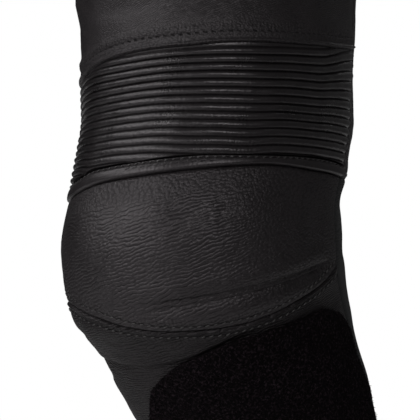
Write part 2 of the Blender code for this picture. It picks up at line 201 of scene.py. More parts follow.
class LeatherSettings(bpy.types.PropertyGroup):
    colour: FloatVectorProperty(
        name="Leather", description="Colour of the dyed leather", subtype="COLOR",
        size=3, min=0, max=1, default=(0.0157, 0.0136, 0.0146))
    lining: FloatVectorProperty(
        name="Flesh side", description="Colour of the leather's inner side", subtype="COLOR",
        size=3, min=0, max=1, default=(0.060, 0.056, 0.053))
    roughness: FloatProperty(
        name="Roughness", description="Gloss of the leather, lower is shinier",
        subtype="FACTOR", min=0.05, max=1, default=0.40)
    pebble: FloatProperty(
        name="Pebble", description="Size of one pebble of the grain",
        subtype="DISTANCE", unit="LENGTH", min=0.0003, max=0.01, default=0.0013)
    grain_depth: FloatProperty(
        name="Grain depth", description="Depth of the grain",
        subtype="DISTANCE", unit="LENGTH", min=0, max=0.001, default=0.00010)
    ripple: FloatProperty(
        name="Ripple", description="From one fine ripple of the pushed-up leather to the next",
        subtype="DISTANCE", unit="LENGTH", min=0.0005, max=0.02, default=0.0022)
    ripple_depth: FloatProperty(
        name="Ripple depth", description="Depth of those ripples",
        subtype="DISTANCE", unit="LENGTH", min=0, max=0.002, default=0.00030)


class SewingSettings(bpy.types.PropertyGroup):
    thread: FloatVectorProperty(
        name="Thread", description="Colour of the thread", subtype="COLOR",
        size=3, min=0, max=1, default=(0.055, 0.052, 0.052))
    spacing: FloatProperty(
        name="Stitch spacing", description="From one stitch to the next",
        subtype="DISTANCE", unit="LENGTH", min=0.001, max=0.01, default=0.0048)
    length: FloatProperty(
        name="Stitch length", description="Length of thread that shows in a stitch",
        subtype="DISTANCE", unit="LENGTH", min=0.0005, max=0.01, default=0.0031)
    thickness: FloatProperty(
        name="Thread thickness", description="Thickness of the thread",
        subtype="DISTANCE", unit="LENGTH", min=0.0001, max=0.002, default=0.0008)
    lean: FloatProperty(
        name="Lean", description="Turn of each stitch from its row",
        subtype="ANGLE", unit="ROTATION", min=-1, max=1, default=radians(24))


class StretchSettings(bpy.types.PropertyGroup):
    rib_height: FloatProperty(
        name="Rib height", description="Height of the ribs above the knee",
        subtype="DISTANCE", unit="LENGTH", min=0, max=0.005, default=0.0021)
    fabric: FloatVectorProperty(
        name="Stretch fabric", description="Colour of the fabric behind knee and calf",
        subtype="COLOR", size=3, min=0, max=1, default=(0.0120, 0.0120, 0.0130))


class PileSettings(bpy.types.PropertyGroup):
    colour: FloatVectorProperty(
        name="Pile", description="Colour of the knee patch's loops", subtype="COLOR",
        size=3, min=0, max=1, default=(0.0062, 0.0042, 0.0053))
    density: FloatProperty(
        name="Tufts", description="Tufts on each square metre", min=0, max=1e6, default=330000)
    tuft: FloatProperty(
        name="Tuft height", description="How far a tuft stands up",
        subtype="DISTANCE", unit="LENGTH", min=0.0002, max=0.005, default=0.0012)
    seed: IntProperty(name="Seed", description="Seed of the tufts' places", default=4)


class StudioSettings(bpy.types.PropertyGroup):
    floor: FloatVectorProperty(
        name="Floor", description="Colour of the floor", subtype="COLOR",
        size=3, min=0, max=1, default=(0.86, 0.86, 0.86))
    key: FloatProperty(
        name="Key light", description="Power of the large soft light",
        subtype="POWER", min=0, default=9)
    ambient: FloatProperty(
        name="Ambient", description="Strength of the light from all round",
        min=0, max=2, default=0.06)


SETTINGS = {
    "trousers_leather": LeatherSettings,
    "trousers_sewing": SewingSettings,
    "trousers_stretch": StretchSettings,
    "trousers_pile": PileSettings,
    "trousers_studio": StudioSettings,
}

# ---------------------------------------------------------------- the cloth's surface


def smooth(x):
    x = np.clip(x, 0.0, 1.0)
    return x * x * (3 - 2 * x)


def bell(x):
    return np.exp(-x * x)


def along(rows, column, at):
    """A column of a table at a value of its first column, on a monotone cubic curve."""
    xs = np.array([row[0] for row in rows], float)
    ys = np.array([getattr(row, column) for row in rows], float)
    step = np.diff(xs)
    slope = np.diff(ys) / step
    tangent = np.concatenate([slope[:1], np.zeros(len(xs) - 2), slope[-1:]])
    for k in range(1, len(xs) - 1):
        if slope[k - 1] * slope[k] > 0:
            before = 2 * step[k] + step[k - 1]
            after = step[k] + 2 * step[k - 1]
            tangent[k] = (before + after) / (before / slope[k - 1] + after / slope[k])
    at = np.clip(np.asarray(at, float), xs[0], xs[-1])
    k = np.clip(np.searchsorted(xs, at, side="right") - 1, 0, len(xs) - 2)
    x = (at - xs[k]) / step[k]
    start = (2 * x**3 - 3 * x**2 + 1) * ys[k] + (x**3 - 2 * x**2 + x) * step[k] * tangent[k]
    end = (3 * x**2 - 2 * x**3) * ys[k + 1] + (x**3 - x**2) * step[k] * tangent[k + 1]
    return start + end


def line(cut, t):
    """A cut's s at each t."""
    return along(cut, "s", t)


def leg_angles(s):
    """The axis's lean and pitch: upright at the hip, then the thigh's, then the shin's."""
    hip = smooth(s / HIP_REACH)
    knee = smooth((s - KNEE_AT + KNEE_REACH) / (2 * KNEE_REACH))
    lean = (THIGH_LEAN + (SHIN_LEAN - THIGH_LEAN) * knee) * hip
    pitch = (THIGH_PITCH + (SHIN_PITCH - THIGH_PITCH) * knee) * hip
    return lean, pitch


def leg_axis():
    """Points every 2 mm down the left leg's axis, and their s."""
    s = np.linspace(0.0, LEG_LENGTH, 361)
    lean, pitch = leg_angles(s)
    way = np.stack([np.tan(lean), -np.tan(pitch), -np.ones_like(s)], axis=-1)
    way /= np.linalg.norm(way, axis=-1, keepdims=True)
    steps = (way[1:] + way[:-1]) / 2 * (s[1] - s[0])
    start = np.array([[LEG_CENTRE, 0.0, -RISE]])
    return s, np.concatenate([start, start + np.cumsum(steps, axis=0)])


AXIS_S, AXIS_POINTS = leg_axis()


def axis_point(s):
    return np.stack([np.interp(s, AXIS_S, AXIS_POINTS[:, k]) for k in range(3)], axis=-1)


def power_wave(value, roundness):
    return np.sign(value) * np.abs(value) ** (2 / roundness)


def leg_surface(angle, s):
    """A point of the left leg: angle from its front, outward positive, and s down its axis."""
    across = power_wave(np.sin(angle), LEG_ROUNDNESS)
    forward = power_wave(np.cos(angle), LEG_ROUNDNESS)
    across = across * np.where(across > 0, along(LEG, "outer", s), along(LEG, "inner", s))
    forward = forward * np.where(forward > 0, along(LEG, "front", s), along(LEG, "back", s))
    forward = forward + along(LEG, "ahead", s)
    lean, pitch = leg_angles(s)
    level = np.zeros_like(lean)
    outward_axis = np.stack([np.cos(lean), level, np.sin(lean)], axis=-1)
    forward_axis = np.stack([level, -np.cos(pitch), np.sin(pitch)], axis=-1)
    return axis_point(s) + across[..., None] * outward_axis + forward[..., None] * forward_axis


def torso_curve(face, t, depth):
    """x and y on a quarter of the torso's section, from the side (t = 0) to the middle."""
    turn = t * pi / 2
    reach = along(TORSO, face, depth) * (-1 if face == "front" else 1)
    x = along(TORSO, "half_width", depth) * power_wave(np.cos(turn), TORSO_ROUNDNESS)
    return x, reach * power_wave(np.sin(turn), TORSO_ROUNDNESS)


CROTCH_CURVE = {"front": 0.60, "back": 0.75}     # its height, as a share of the rise


def cloth(face, t, s):
    """A point of the left half's surface. Above the crotch the leg turns into the torso."""
    t, s = np.broadcast_arrays(np.asarray(t, float), np.asarray(s, float))
    down = np.maximum(s, 0.0)
    side = along(SEAM_ANGLES, "side", down)
    inseam = along(SEAM_ANGLES, "inseam", down) + (0 if face == "front" else 360)
    leg = leg_surface(np.radians(side + (inseam - side) * t), down)
    rise = np.clip(-s / RISE, 0.0, 1.0)
    middle = np.sqrt(1 - (1 - np.minimum(rise / CROTCH_CURVE[face], 1)) ** 2)
    blend = (1 - t**3) * smooth(rise) + t**3 * middle
    x, y = torso_curve(face, t, RISE * (1 - rise))
    torso = np.stack([x, y, leg[..., 2]], axis=-1)
    point = leg + (torso - leg) * blend[..., None]
    point[..., 2] *= 1 - rise
    return point


def slopes(face, t, s):
    """The surface's change for each unit of t and of s."""
    small_t, small_s = 1e-3, 2e-4
    low, high = np.maximum(t - small_t, 0), np.minimum(t + small_t, 1)
    by_t = (cloth(face, high, s) - cloth(face, low, s)) / (high - low)[..., None]
    by_s = (cloth(face, t, s + small_s) - cloth(face, t, s - small_s)) / (2 * small_s)
    return by_t, by_s


def outward(face, t, s):
    by_t, by_s = slopes(face, t, s)
    normal = np.cross(by_t, by_s) * (1 if face == "front" else -1)
    return normal / np.linalg.norm(normal, axis=-1, keepdims=True)


# ---------------------------------------------------------------- panels as grids


RIGHT_SEEDS = 500               # added to the left leg's seeds


class Panel:
    """A panel laid out flat: its grid of t and s, and where its points lie before any relief."""

    def __init__(self, face, columns, s, side="left", seamed=True):
        self.face = face
        self.side = side
        self.t = np.broadcast_to(columns, s.shape).copy()
        self.s = s.copy()
        if seamed:
            self.leave_gaps(columns)
        self.measure()

    def leave_gaps(self, columns):
        """Draws the edges in from their seams."""
        by_t, by_s = slopes(self.face, self.t, self.s)
        t_gap = SEAM_GAP / 2 / np.linalg.norm(by_t, axis=-1)
        s_gap = SEAM_GAP / 2 / np.linalg.norm(by_s, axis=-1)
        self.t[:, 0] += t_gap[:, 0] * (columns[0] == 0)
        self.t[:, -1] -= t_gap[:, -1] * (columns[-1] == 1)
        self.s[0] += s_gap[0]
        self.s[-1] -= s_gap[-1]

    def measure(self):
        """The points, their normals, and the distances from the panel's four edges."""
        self.base = cloth(self.face, self.t, self.s)
        self.normal = outward(self.face, self.t, self.s)
        self.from_side = self.distances(1)
        self.from_top = self.distances(0)
        self.from_inseam = self.from_side[:, -1:] - self.from_side
        self.from_foot = self.from_top[-1:] - self.from_top
        self.height = np.zeros(self.s.shape)
        self.creased = np.ones(self.s.shape)

    def distances(self, axis):
        steps = np.linalg.norm(np.diff(self.base, axis=axis), axis=-1)
        start = np.zeros_like(steps[:1] if axis == 0 else steps[:, :1])
        return np.concatenate([start, np.cumsum(steps, axis=axis)], axis=axis)

    def away(self, edge):
        return getattr(self, "from_" + edge)

    def mirror(self):
        return MIRROR if self.side == "right" else np.ones(3)

    def seed(self, number):
        """Another number for the right leg, so that the legs aren't twins."""
        return number + (RIGHT_SEEDS if self.side == "right" else 0)

    def at(self, height):
        """Points that far above the cloth, clear of the middle seam."""
        points = self.base + self.normal * height[..., None]
        points[..., 0] = np.maximum(points[..., 0], SEAM_GAP / 2)
        return points

    def row(self, edge, inset, start=0.0, end=1.0, lift=0.0):
        """Points and normals of a line on the panel, at one distance from an edge.

        start and end are shares of the line that it keeps, and lift raises it."""
        away = self.away(edge)
        grids = [self.at(self.height), self.normal]
        if edge in ("side", "inseam"):
            away = away.T
            grids = [grid.transpose(1, 0, 2) for grid in grids]
        if edge in ("foot", "inseam"):
            away = away[::-1]
            grids = [grid[::-1] for grid in grids]
        lines = np.arange(away.shape[1])
        k = np.argmax(away >= inset, axis=0).clip(1)
        part = (inset - away[k - 1, lines]) / (away[k, lines] - away[k - 1, lines])
        points, normals = (
            grid[k - 1, lines] + part[:, None] * (grid[k, lines] - grid[k - 1, lines])
            for grid in grids)
        last = len(lines) - 1
        keep = slice(int(round(start * last)), int(round(end * last)) + 1)
        normals = normals / np.linalg.norm(normals, axis=-1, keepdims=True)
        return (points + normals * lift)[keep], normals[keep]


SewnRow = namedtuple("SewnRow", "edge inset start end lift")


def seam_marks(panel, rows):
    """Each point's distance from the nearest sewn row, and the stitches counted to it."""
    spacing = bpy.context.scene.trousers_sewing.spacing
    nearest, counted = np.ones(panel.s.shape), np.zeros(panel.s.shape)
    for row in rows:
        points = panel.row(*row)[0]
        run = np.append(0.0, np.cumsum(np.linalg.norm(np.diff(points, axis=0), axis=-1)))
        stitches = run * np.floor(run[-1] / spacing) / run[-1]
        down = row.edge in ("side", "inseam")
        lines = panel.s.shape[0 if down else 1]
        first = int(round(row.start * (lines - 1)))
        place = np.interp(np.arange(lines), first + np.arange(len(run)), stitches)
        place = place[:, None] if down else place[None, :]
        away = panel.away(row.edge) - row.inset
        closer = np.abs(away) < np.abs(nearest)
        nearest = np.where(closer, away, nearest)
        counted = np.where(closer, place, counted)
    return nearest, counted


def shifted(cut, by):
    return [Cut(row.t, row.s + by) for row in cut]


def raised(cut, limit, apart):
    """A cut, moved up wherever it comes nearer than apart to the cut below it."""
    return [Cut(t, float(min(line(cut, t), line(limit, t) - apart)))
            for t in np.linspace(0, 1, 41)]


def back_cut(cut):
    """A cut's line across the back, straight between its two ends on the front."""
    return [cut[0], cut[-1]]


def edge_crowded(count, edge=0.0012):
    """Values from 0 to 1, evenly spaced, with a few more close to both ends."""
    near = np.array([edge, 2.6 * edge])
    return np.unique(np.concatenate([np.linspace(0, 1, count + 1), near, 1 - near]))


def row_lines(columns, *stretches):
    """s for each row and column, from (top cut, bottom cut, rows between) stretches."""
    lines = []
    for top, bottom, count in stretches:
        upper, lower = line(top, columns), line(bottom, columns)
        lines += [upper + (lower - upper) * k / count for k in range(count)]
    lines.append(line(stretches[-1][1], columns))
    return np.array(lines)


def cut_panel(face, side, count, *stretches, torso_rows=0):
    """A panel between cuts, with torso_rows above the crotch and count columns round the leg."""
    columns = edge_crowded(count)
    rows = row_lines(columns, *stretches)
    if torso_rows:
        rows = np.concatenate([level_rows(columns, WAIST_S, 0.0, torso_rows), rows])
    return Panel(face, columns, rows, side)


def level_rows(columns, top, bottom, count):
    """Rows at one s each, from top up to but without bottom."""
    return np.linspace(top, bottom, count, endpoint=False)[:, None] + np.zeros(len(columns))


# ---------------------------------------------------------------- relief


def noise(x, y, seed):
    """Smooth values from -1 to 1 that change once over each unit of x and y."""
    x, y = np.broadcast_arrays(np.asarray(x, float), np.asarray(y, float))
    i, j = np.floor(x).astype(np.int64), np.floor(y).astype(np.int64)
    across, down = smooth(x - i), smooth(y - j)

    def corner(di, dj):
        n = ((i + di) * 374761393 + (j + dj) * 668265263 + seed * 974634777) & 0xFFFFFFFF
        n = ((n ^ (n >> 13)) * 1274126177) & 0xFFFFFFFF
        turn = ((n ^ (n >> 16)) & 0xFFFF) * (2 * pi / 0x10000)
        return 1.6 * (np.cos(turn) * (x - i - di) + np.sin(turn) * (y - j - dj))

    upper = corner(0, 0) * (1 - across) + corner(1, 0) * across
    lower = corner(0, 1) * (1 - across) + corner(1, 1) * across
    return upper * (1 - down) + lower * down


def layered(x, y, seed, layers):
    """Noise with finer noise on it."""
    total = np.zeros(np.broadcast(x, y).shape)
    for k in range(layers):
        total = total + noise(x * 2**k, y * 2**k, seed + 17 * k) * 0.55**k
    return total


def edge_mask(panel, reach):
    """0 at the edges, 1 further in than reach."""
    mask = np.ones(panel.s.shape)
    for edge in EDGES:
        mask = mask * smooth(panel.away(edge) / reach)
    return mask


def turned_edges(panel, depth=0.0006, reach=0.0011, edges=EDGES):
    """Sinks a panel's edges into its seams."""
    for edge in edges:
        panel.height -= depth * bell(panel.away(edge) / reach)


HILLS_FROM_SEAM = 0.014


def undulation(panel, depth, size, seed):
    """Slow hills and hollows, none at the seams."""
    hills = layered(panel.from_side / size, panel.s / size, panel.seed(seed), 2)
    panel.height += depth * hills * edge_mask(panel, HILLS_FROM_SEAM)


GIRTH = 0.25                    # a panel's usual width, to measure t in metres
Crease = namedtuple("Crease", "t s end_t end_s bow depth half")


def crease(panel, row):
    """A soft trough from one point to another with a low roll below it. bow bends it down."""
    x, x_end = (row.t - 0.5) * GIRTH, (row.end_t - 0.5) * GIRTH
    dx, ds = x_end - x, row.end_s - row.s
    length = np.hypot(dx, ds)
    px, ps = (panel.t - 0.5) * GIRTH - x, panel.s - row.s
    k = (px * dx + ps * ds) / length**2
    away = (ps * dx - px * ds) / length * (1 if dx >= 0 else -1) - row.bow * 4 * k * (1 - k)
    ends = smooth(k / 0.35) * smooth((1 - k) / 0.35)
    roll = 0.40 * bell((away - 1.9 * row.half) / (1.4 * row.half))
    return row.depth * ends * (roll - bell(away / row.half))


def add_creases(panel, rows):
    for row in rows:
        panel.height += crease(panel, row)


def compression(panel, depth, long, high, seed, mask):
    """Uneven wrinkles across the leg where the leather is pushed together."""
    x, y = panel.from_side, panel.s
    bend = 0.9 * layered(x / (2.2 * long), y / (5 * high), panel.seed(seed + 3), 2)
    waves = noise(x / long, y / high + bend, panel.seed(seed))
    waves = waves + 0.55 * noise(x / (0.45 * long), y / (0.5 * high) + bend, panel.seed(seed + 1))
    strength = 0.65 + 0.5 * noise(x / (4 * long), y / (6 * high), panel.seed(seed + 2))
    panel.height += depth * waves * strength * mask


def fold_step(away, depth, reach, lip):
    """A fold whose upper lip drops off sharply, and whose lower side climbs back gently."""
    below = np.exp(-np.clip(away, 0, None) / reach)
    return -depth * np.where(away > 0, below, bell(away / lip))


def gathers(panel, edge, inset, depth, reach, width, seed, slant=0.0):
    """Short puckers that run away from a row of stitches."""
    away = panel.away(edge)
    round_leg = slant * away + panel.from_side
    waves = noise(round_leg / width, away / (3 * width), panel.seed(seed))
    waves = waves + 0.5 * noise(round_leg / (0.5 * width), away / width, panel.seed(seed + 1))
    strength = 0.6 + 0.6 * noise(round_leg / (7 * width), 0.0 * away, panel.seed(seed + 2))
    panel.height += depth * waves * strength * bell((away - inset) / reach)


def ridge(panel, edge, inset, height, half):
    """A low ridge along an edge, or a groove where the height is negative."""
    panel.height += height * bell((panel.away(edge) - inset) / half)


def stitch_groove(panel, edge, inset, depth=0.00035, half=0.0010):
    ridge(panel, edge, inset, -depth, half)


# ---------------------------------------------------------------- meshes

INNER_STRIDE = 4                # the inner wall keeps every fourth row and column
WALL_CORNER = 66                # degrees from which an edge shades sharp


def kept(count):
    """Indices of the rows or columns that the inner wall keeps."""
    return np.unique(np.append(np.arange(0, count, INNER_STRIDE), count - 1))


def lowest_nearby(height):
    """The lowest height within the inner wall's stride of each point."""
    low = height.copy()
    for axis in (0, 1):
        around = [low]
        for step in range(1, INNER_STRIDE + 1):
            for way in (-step, step):
                moved = np.roll(low, way, axis=axis)
                edge = [slice(None)] * 2
                edge[axis] = slice(0, step) if way > 0 else slice(-step, None)
                moved[tuple(edge)] = low[tuple(edge)]
                around.append(moved)
        low = np.min(around, axis=0)
    return low


def add_object(name, data):
    made = bpy.data.objects.new(name, data)
    bpy.context.scene.collection.objects.link(made)
    return made


def mesh_from(bm, name, finish):
    """A built-up mesh, made into data of that name with one material."""
    mesh = bpy.data.meshes.new(name)
    bm.to_mesh(mesh)
    bm.free()
    mesh.materials.append(finish)
    return mesh


def vertex_data(made, name, values):
    """Stores a number or a vector on each vertex."""
    values = np.asarray(values, float)
    kind, field = ("FLOAT", "value") if values.ndim == 1 else ("FLOAT_VECTOR", "vector")
    made.data.attributes.new(name, kind, "POINT").data.foreach_set(field, values.ravel())


def corners_of(grid):
    """The four corner indices of each cell."""
    return np.stack([grid[:-1, :-1], grid[:-1, 1:], grid[1:, 1:], grid[1:, :-1]],
                    axis=-1).reshape(-1, 4)


def wall(name, outer, inner, uv, flip, materials, marks=None):
    """A closed wall: a fine outer grid, a coarser inner one, and strips between their rims."""
    rows, columns = outer.shape[:2]
    at = np.arange(rows * columns).reshape(rows, columns)
    keep_rows, keep_columns = kept(rows), kept(columns)
    keep = np.ix_(keep_rows, keep_columns)
    into = rows * columns + np.arange(keep_rows.size * keep_columns.size).reshape(
        keep_rows.size, keep_columns.size)
    lookup = -np.ones((rows, columns), int)
    lookup[keep] = into
    points = np.concatenate([outer.reshape(-1, 3), inner[keep].reshape(-1, 3)])
    quads = corners_of(at)
    lining = corners_of(into)[:, [0, 3, 2, 1]]
    polygons = quads.tolist() + lining.tolist()
    rims = ((at[0], lookup[0]), (at[:, -1], lookup[:, -1]),
            (at[-1, ::-1], lookup[-1, ::-1]), (at[::-1, 0], lookup[::-1, 0]))
    for fine, coarse in rims:
        stops = np.flatnonzero(coarse >= 0)
        for a, b in zip(stops[:-1], stops[1:]):
            polygons.append(fine[a:b + 1][::-1].tolist() + [int(coarse[a]), int(coarse[b])])
    if flip:
        polygons = [polygon[::-1] for polygon in polygons]
    slots = np.zeros(len(polygons), int)
    slots[len(quads):len(quads) + len(lining)] = 1
    mesh = bpy.data.meshes.new(name)
    mesh.from_pydata(points.tolist(), [], polygons)
    for finish in materials:
        mesh.materials.append(finish)
    mesh.polygons.foreach_set("material_index", slots)
    mesh.shade_smooth()
    mesh.set_sharp_from_angle(angle=radians(WALL_CORNER))
    flat = np.concatenate([uv.reshape(-1, 2), uv[keep].reshape(-1, 2)])
    corners = np.zeros(len(mesh.loops), int)
    mesh.loops.foreach_get("vertex_index", corners)
    mesh.uv_layers.new(name=CLOTH_UV).data.foreach_set("uv", flat[corners].ravel())
    made = add_object(name, mesh)
    if marks is None:
        marks = np.broadcast_to((1.0, 0.0, 1.0), outer.shape)
    vertex_data(made, CLOTH_MARKS,
                np.concatenate([marks.reshape(-1, 3), marks[keep].reshape(-1, 3)]))
    return made


def panel_object(name, panel, thickness, materials, lift=0.0, rows=()):
    """The panel's wall. lift is how far its inner side lies above the cloth's surface."""
    depth = lowest_nearby(panel.height) - thickness
    if lift:
        depth = np.maximum(depth, lift)
    outer, inner = panel.at(panel.height), panel.at(depth)
    uv = np.stack([panel.from_side - panel.from_side[:, -1:] / 2, -panel.s], axis=-1)
    flip = (panel.face == "back") != (panel.side == "right")
    marks = np.stack([*seam_marks(panel, rows), panel.creased], axis=-1)
    return wall(f"{panel.side}_{name}", outer * panel.mirror(), inner * panel.mirror(), uv,
                flip, materials, marks)


# ---------------------------------------------------------------- node building


class Wire:
    """A node's output. Arithmetic adds math nodes, and [key] is another output of its node."""

    def __init__(self, nodes, socket):
        self.nodes = nodes
        self.socket = socket

    def __getitem__(self, key):
        return Wire(self.nodes, self.socket.node.outputs[key])

    def math(self, operation, *others):
        return self.nodes.math(operation, self, *others)

    def spread(self, low, high, new_low=0.0, new_high=1.0):
        """Its range from low to high, turned to another and kept within it."""
        return self.nodes.add("ShaderNodeMapRange", {
            "Value": self, "From Min": low, "From Max": high,
            "To Min": new_low, "To Max": new_high})


def arithmetic(operation, swapped=False):
    def work(self, other):
        return self.nodes.math(operation, *((other, self) if swapped else (self, other)))
    return work


OPERATIONS = {"add": "ADD", "sub": "SUBTRACT", "mul": "MULTIPLY", "truediv": "DIVIDE"}
for method, operation in OPERATIONS.items():
    setattr(Wire, f"__{method}__", arithmetic(operation))
    setattr(Wire, f"__r{method}__", arithmetic(operation, swapped=True))


class Nodes:
    """Adds nodes to a tree. An input is given by its name or number, as a value or a wire."""

    def __init__(self, tree):
        self.tree = tree

    def feed(self, socket, value):
        if isinstance(value, Wire):
            self.tree.links.new(value.socket, socket)
        else:
            socket.default_value = value

    def add(self, kind, inputs=None, out=0, **settings):
        made = self.tree.nodes.new(kind)
        for name, value in settings.items():
            setattr(made, name, value)
        for key, value in (inputs or {}).items():
            self.feed(made.inputs[key], value)
        return Wire(self, made.outputs[out])

    def math(self, operation, *values):
        """A math node, or a vector math node where the first value is a vector."""
        first = values[0]
        if isinstance(first, Wire) and first.socket.type in ("VECTOR", "RGBA"):
            if operation == "MULTIPLY":
                return self.add("ShaderNodeVectorMath", {0: first, "Scale": values[1]},
                                operation="SCALE")
            return self.add("ShaderNodeVectorMath", dict(enumerate(values)), operation=operation)
        return self.add("ShaderNodeMath", dict(enumerate(values)), operation=operation)

    def parts(self, vector):
        made = self.add("ShaderNodeSeparateXYZ", {0: vector})
        return made[0], made[1], made[2]

    def combine(self, *values):
        return self.add("ShaderNodeCombineXYZ", dict(enumerate(values)))

    def noise(self, vector, scale, detail, roughness=0.5, dimensions="2D"):
        return self.add("ShaderNodeTexNoise", {
            "Vector": vector, "Scale": scale, "Detail": detail, "Roughness": roughness},
            noise_dimensions=dimensions)

    def cloth_place(self):
        return self.add("ShaderNodeUVMap", uv_map=CLOTH_UV)

    def object_place(self):
        return self.add("ShaderNodeTexCoord", out="Object")

    def mix_colour(self, factor, a, b):
        return self.add("ShaderNodeMix", {0: factor, 6: a, 7: b}, out=2, data_type="RGBA")

    def bump(self, height):
        return self.add("ShaderNodeBump", {"Height": height, "Distance": 1.0})

    def group(self, tree, **inputs):
        return self.add("ShaderNodeGroup", {label(key): value for key, value in inputs.items()},
                        node_tree=tree)

    def principled(self, **inputs):
        """Feeds the Principled shader's inputs, named with _ for each space."""
        shader = self.tree.nodes["Principled BSDF"]
        for key, value in inputs.items():
            self.feed(shader.inputs[key.replace("_", " ")], value)

    def attribute(self, name, kind="FLOAT"):
        return self.add("GeometryNodeInputNamedAttribute", {"Name": name}, data_type=kind)

    def random(self, low, high, seed):
        return self.add("FunctionNodeRandomValue", {2: low, 3: high, "Seed": seed}, out=1,
                        data_type="FLOAT")

    def turned(self, rotation, angles):
        turn = self.add("FunctionNodeEulerToRotation", {0: angles})
        return self.add("FunctionNodeRotateRotation", {0: rotation, 1: turn},
                        rotation_space="LOCAL")

    def scattered(self, points, instance, rotation, scale, material):
        """The instance on each point, made real and given its material."""
        made = self.add("GeometryNodeInstanceOnPoints", {
            "Points": points, "Instance": instance, "Rotation": rotation, "Scale": scale})
        real = self.add("GeometryNodeRealizeInstances", {0: made})
        return self.add("GeometryNodeSetMaterial", {0: real, "Material": material})


VECTOR, GEOMETRY, MATERIAL = "NodeSocketVector", "NodeSocketGeometry", "NodeSocketMaterial"
NUMBERS = {float: "NodeSocketFloat", int: "NodeSocketInt"}


def label(word):
    return word.replace("_", " ").title()


def node_group(name, kind, *outputs):
    """Turns a function into one that gives a node group, made when it is first asked for.

    The function's arguments are the group's inputs, and what it returns are its outputs."""

    def wrap(build):
        def tree_of():
            tree = bpy.data.node_groups.get(name)
            if tree:
                return tree
            tree = bpy.data.node_groups.new(name, kind + "NodeTree")
            arguments = list(signature(build).parameters.values())[1:]
            for argument in arguments:
                start = argument.default
                made = tree.interface.new_socket(
                    name=label(argument.name), in_out="INPUT",
                    socket_type=NUMBERS.get(type(start), start))
                if type(start) in NUMBERS:
                    made.default_value = start
            for output in outputs:
                tree.interface.new_socket(
                    name=output, in_out="OUTPUT",
                    socket_type=GEOMETRY if kind == "Geometry" else NUMBERS[float])
            nodes = Nodes(tree)
            given = tree.nodes.new("NodeGroupInput")
            out = tree.nodes.new("NodeGroupOutput")
            results = build(nodes, *(Wire(nodes, given.outputs[k]) for k in range(len(arguments))))
            for k, result in enumerate(results):
                nodes.feed(out.inputs[k], result)
            return tree
        return tree_of
    return wrap


# ---------------------------------------------------------------- shader groups

FULL_TURN = 2 * pi
HALF = (0.5, 0.5, 0.5)


@node_group("Leather grain", "Shader", "Height", "Groove", "Patches")
def leather_grain(nodes, vector=VECTOR, pebble=0.0013, stretch=1.0, depth=0.0001,
                  ripple=0.0022, ripple_depth=0.0003, tilt=0.14, narrowness=0.25, lines=1.0,
                  creased=1.0):
    """Pebbled leather grain with fine ripples: its height in metres, and how deep a point lies."""
    slow = nodes.noise(vector, 60.0, 1.0)
    sway = nodes.noise(vector, 260.0, 1.0)
    x, y, _ = nodes.parts(vector + (slow["Color"] - HALF) * 0.0018
                          + (sway["Color"] - HALF) * 0.0009)
    pitch = 1.0 / ripple
    squashed = nodes.combine(x * (pitch * narrowness), (y + x * tilt) * pitch)
    folds = nodes.add("ShaderNodeTexGabor", {
        "Vector": squashed, "Scale": 0.78, "Frequency": 2.0, "Anisotropy": 0.88,
        "Orientation": pi / 2}, out="Phase", gabor_type="2D")
    even = (folds * FULL_TURN).math("SINE")
    fades = folds["Intensity"].spread(0.0, 0.30, 0.50, 1.0)
    waves = even.spread(-1.0, 1.0).math("POWER", 0.7) * fades
    dips = even.spread(-1.0, -0.45, 1.0, 0.0) * fades
    strong = creased * slow.spread(0.35, 0.60, 0.65, 1.0)
    squeezed = vector / nodes.combine(stretch, 1.0, 1.0)
    fine = nodes.noise(squeezed, 420.0, 2.0)
    scale = 1.0 / pebble
    cells = nodes.add("ShaderNodeTexVoronoi", {
        "Vector": squeezed + (fine["Color"] - HALF) * 0.0006, "Scale": scale},
        feature="F1", voronoi_dimensions="2D")
    domes = cells.math("POWER", 2.0).spread(0.0, 0.42, 1.0, 0.0)
    pores = nodes.noise(vector, scale * 1.7, 3.0, 0.65)
    height = (domes + pores * 1.1) * (depth * strong.spread(0.0, 1.0, 1.0, 0.35))
    pits = (1.0 - domes) * strong.spread(0.0, 1.0, 0.60, 0.25)
    deep = (dips * (strong * lines)).math("MAXIMUM", pits)
    return height + waves * strong * ripple_depth, deep, nodes.noise(vector, 45.0, 4.0)


@node_group("Seam puckers", "Shader", "Height", "Hole")
def seam_puckers(nodes, away=1.0, stitches=0.0, reach=0.0045, depth=0.0002, hole=0.0004):
    """Leather drawn in by stitches: holes between them, and ridges that run off from each."""
    turn = stitches * FULL_TURN
    slanted = away + turn.math("SINE") * 0.00022

    def hill(width):
        part = slanted / width
        return (part * part * -1.0).math("EXPONENT")

    wave = turn.math("COSINE")
    ticks = wave * 0.4 + (turn * 2.0).math("COSINE") * 0.7
    holes = hill(hole) * wave.spread(-0.20, 0.30, 1.0, 0.0)
    inward = away.spread(0.0004, 0.0020, 0.10, 1.0)
    return hill(reach) * ticks * (depth * inward) - holes * 0.0004, holes


@node_group("Stretch knit", "Shader", "Height", "Thread")
def stretch_knit(nodes, vector=VECTOR, pitch=0.0009, depth=0.0001):
    """Columns of small loops, as on stretch fabric."""
    x, y, _ = nodes.parts(vector)
    turn = FULL_TURN / pitch
    chevron = (x * turn).math("SINE").math("ABSOLUTE")
    loops = (y * (turn * 0.8) + chevron * 2.2).math("SINE").spread(-1.0, 1.0)
    thread = loops * chevron.spread(0.0, 0.5, 0.35, 1.0)
    return thread * depth, thread


@node_group("Fibre fuzz", "Shader", "Height", "Fibre")
def fibre_fuzz(nodes, vector=VECTOR, size=0.0008, depth=0.0003):
    """Fine fuzz: a height, and a value that differs from fibre to fibre."""
    fibre = nodes.noise(vector, 1.0 / size, 4.0, 0.7, "3D")
    return fibre * depth, fibre


# ---------------------------------------------------------------- finishes

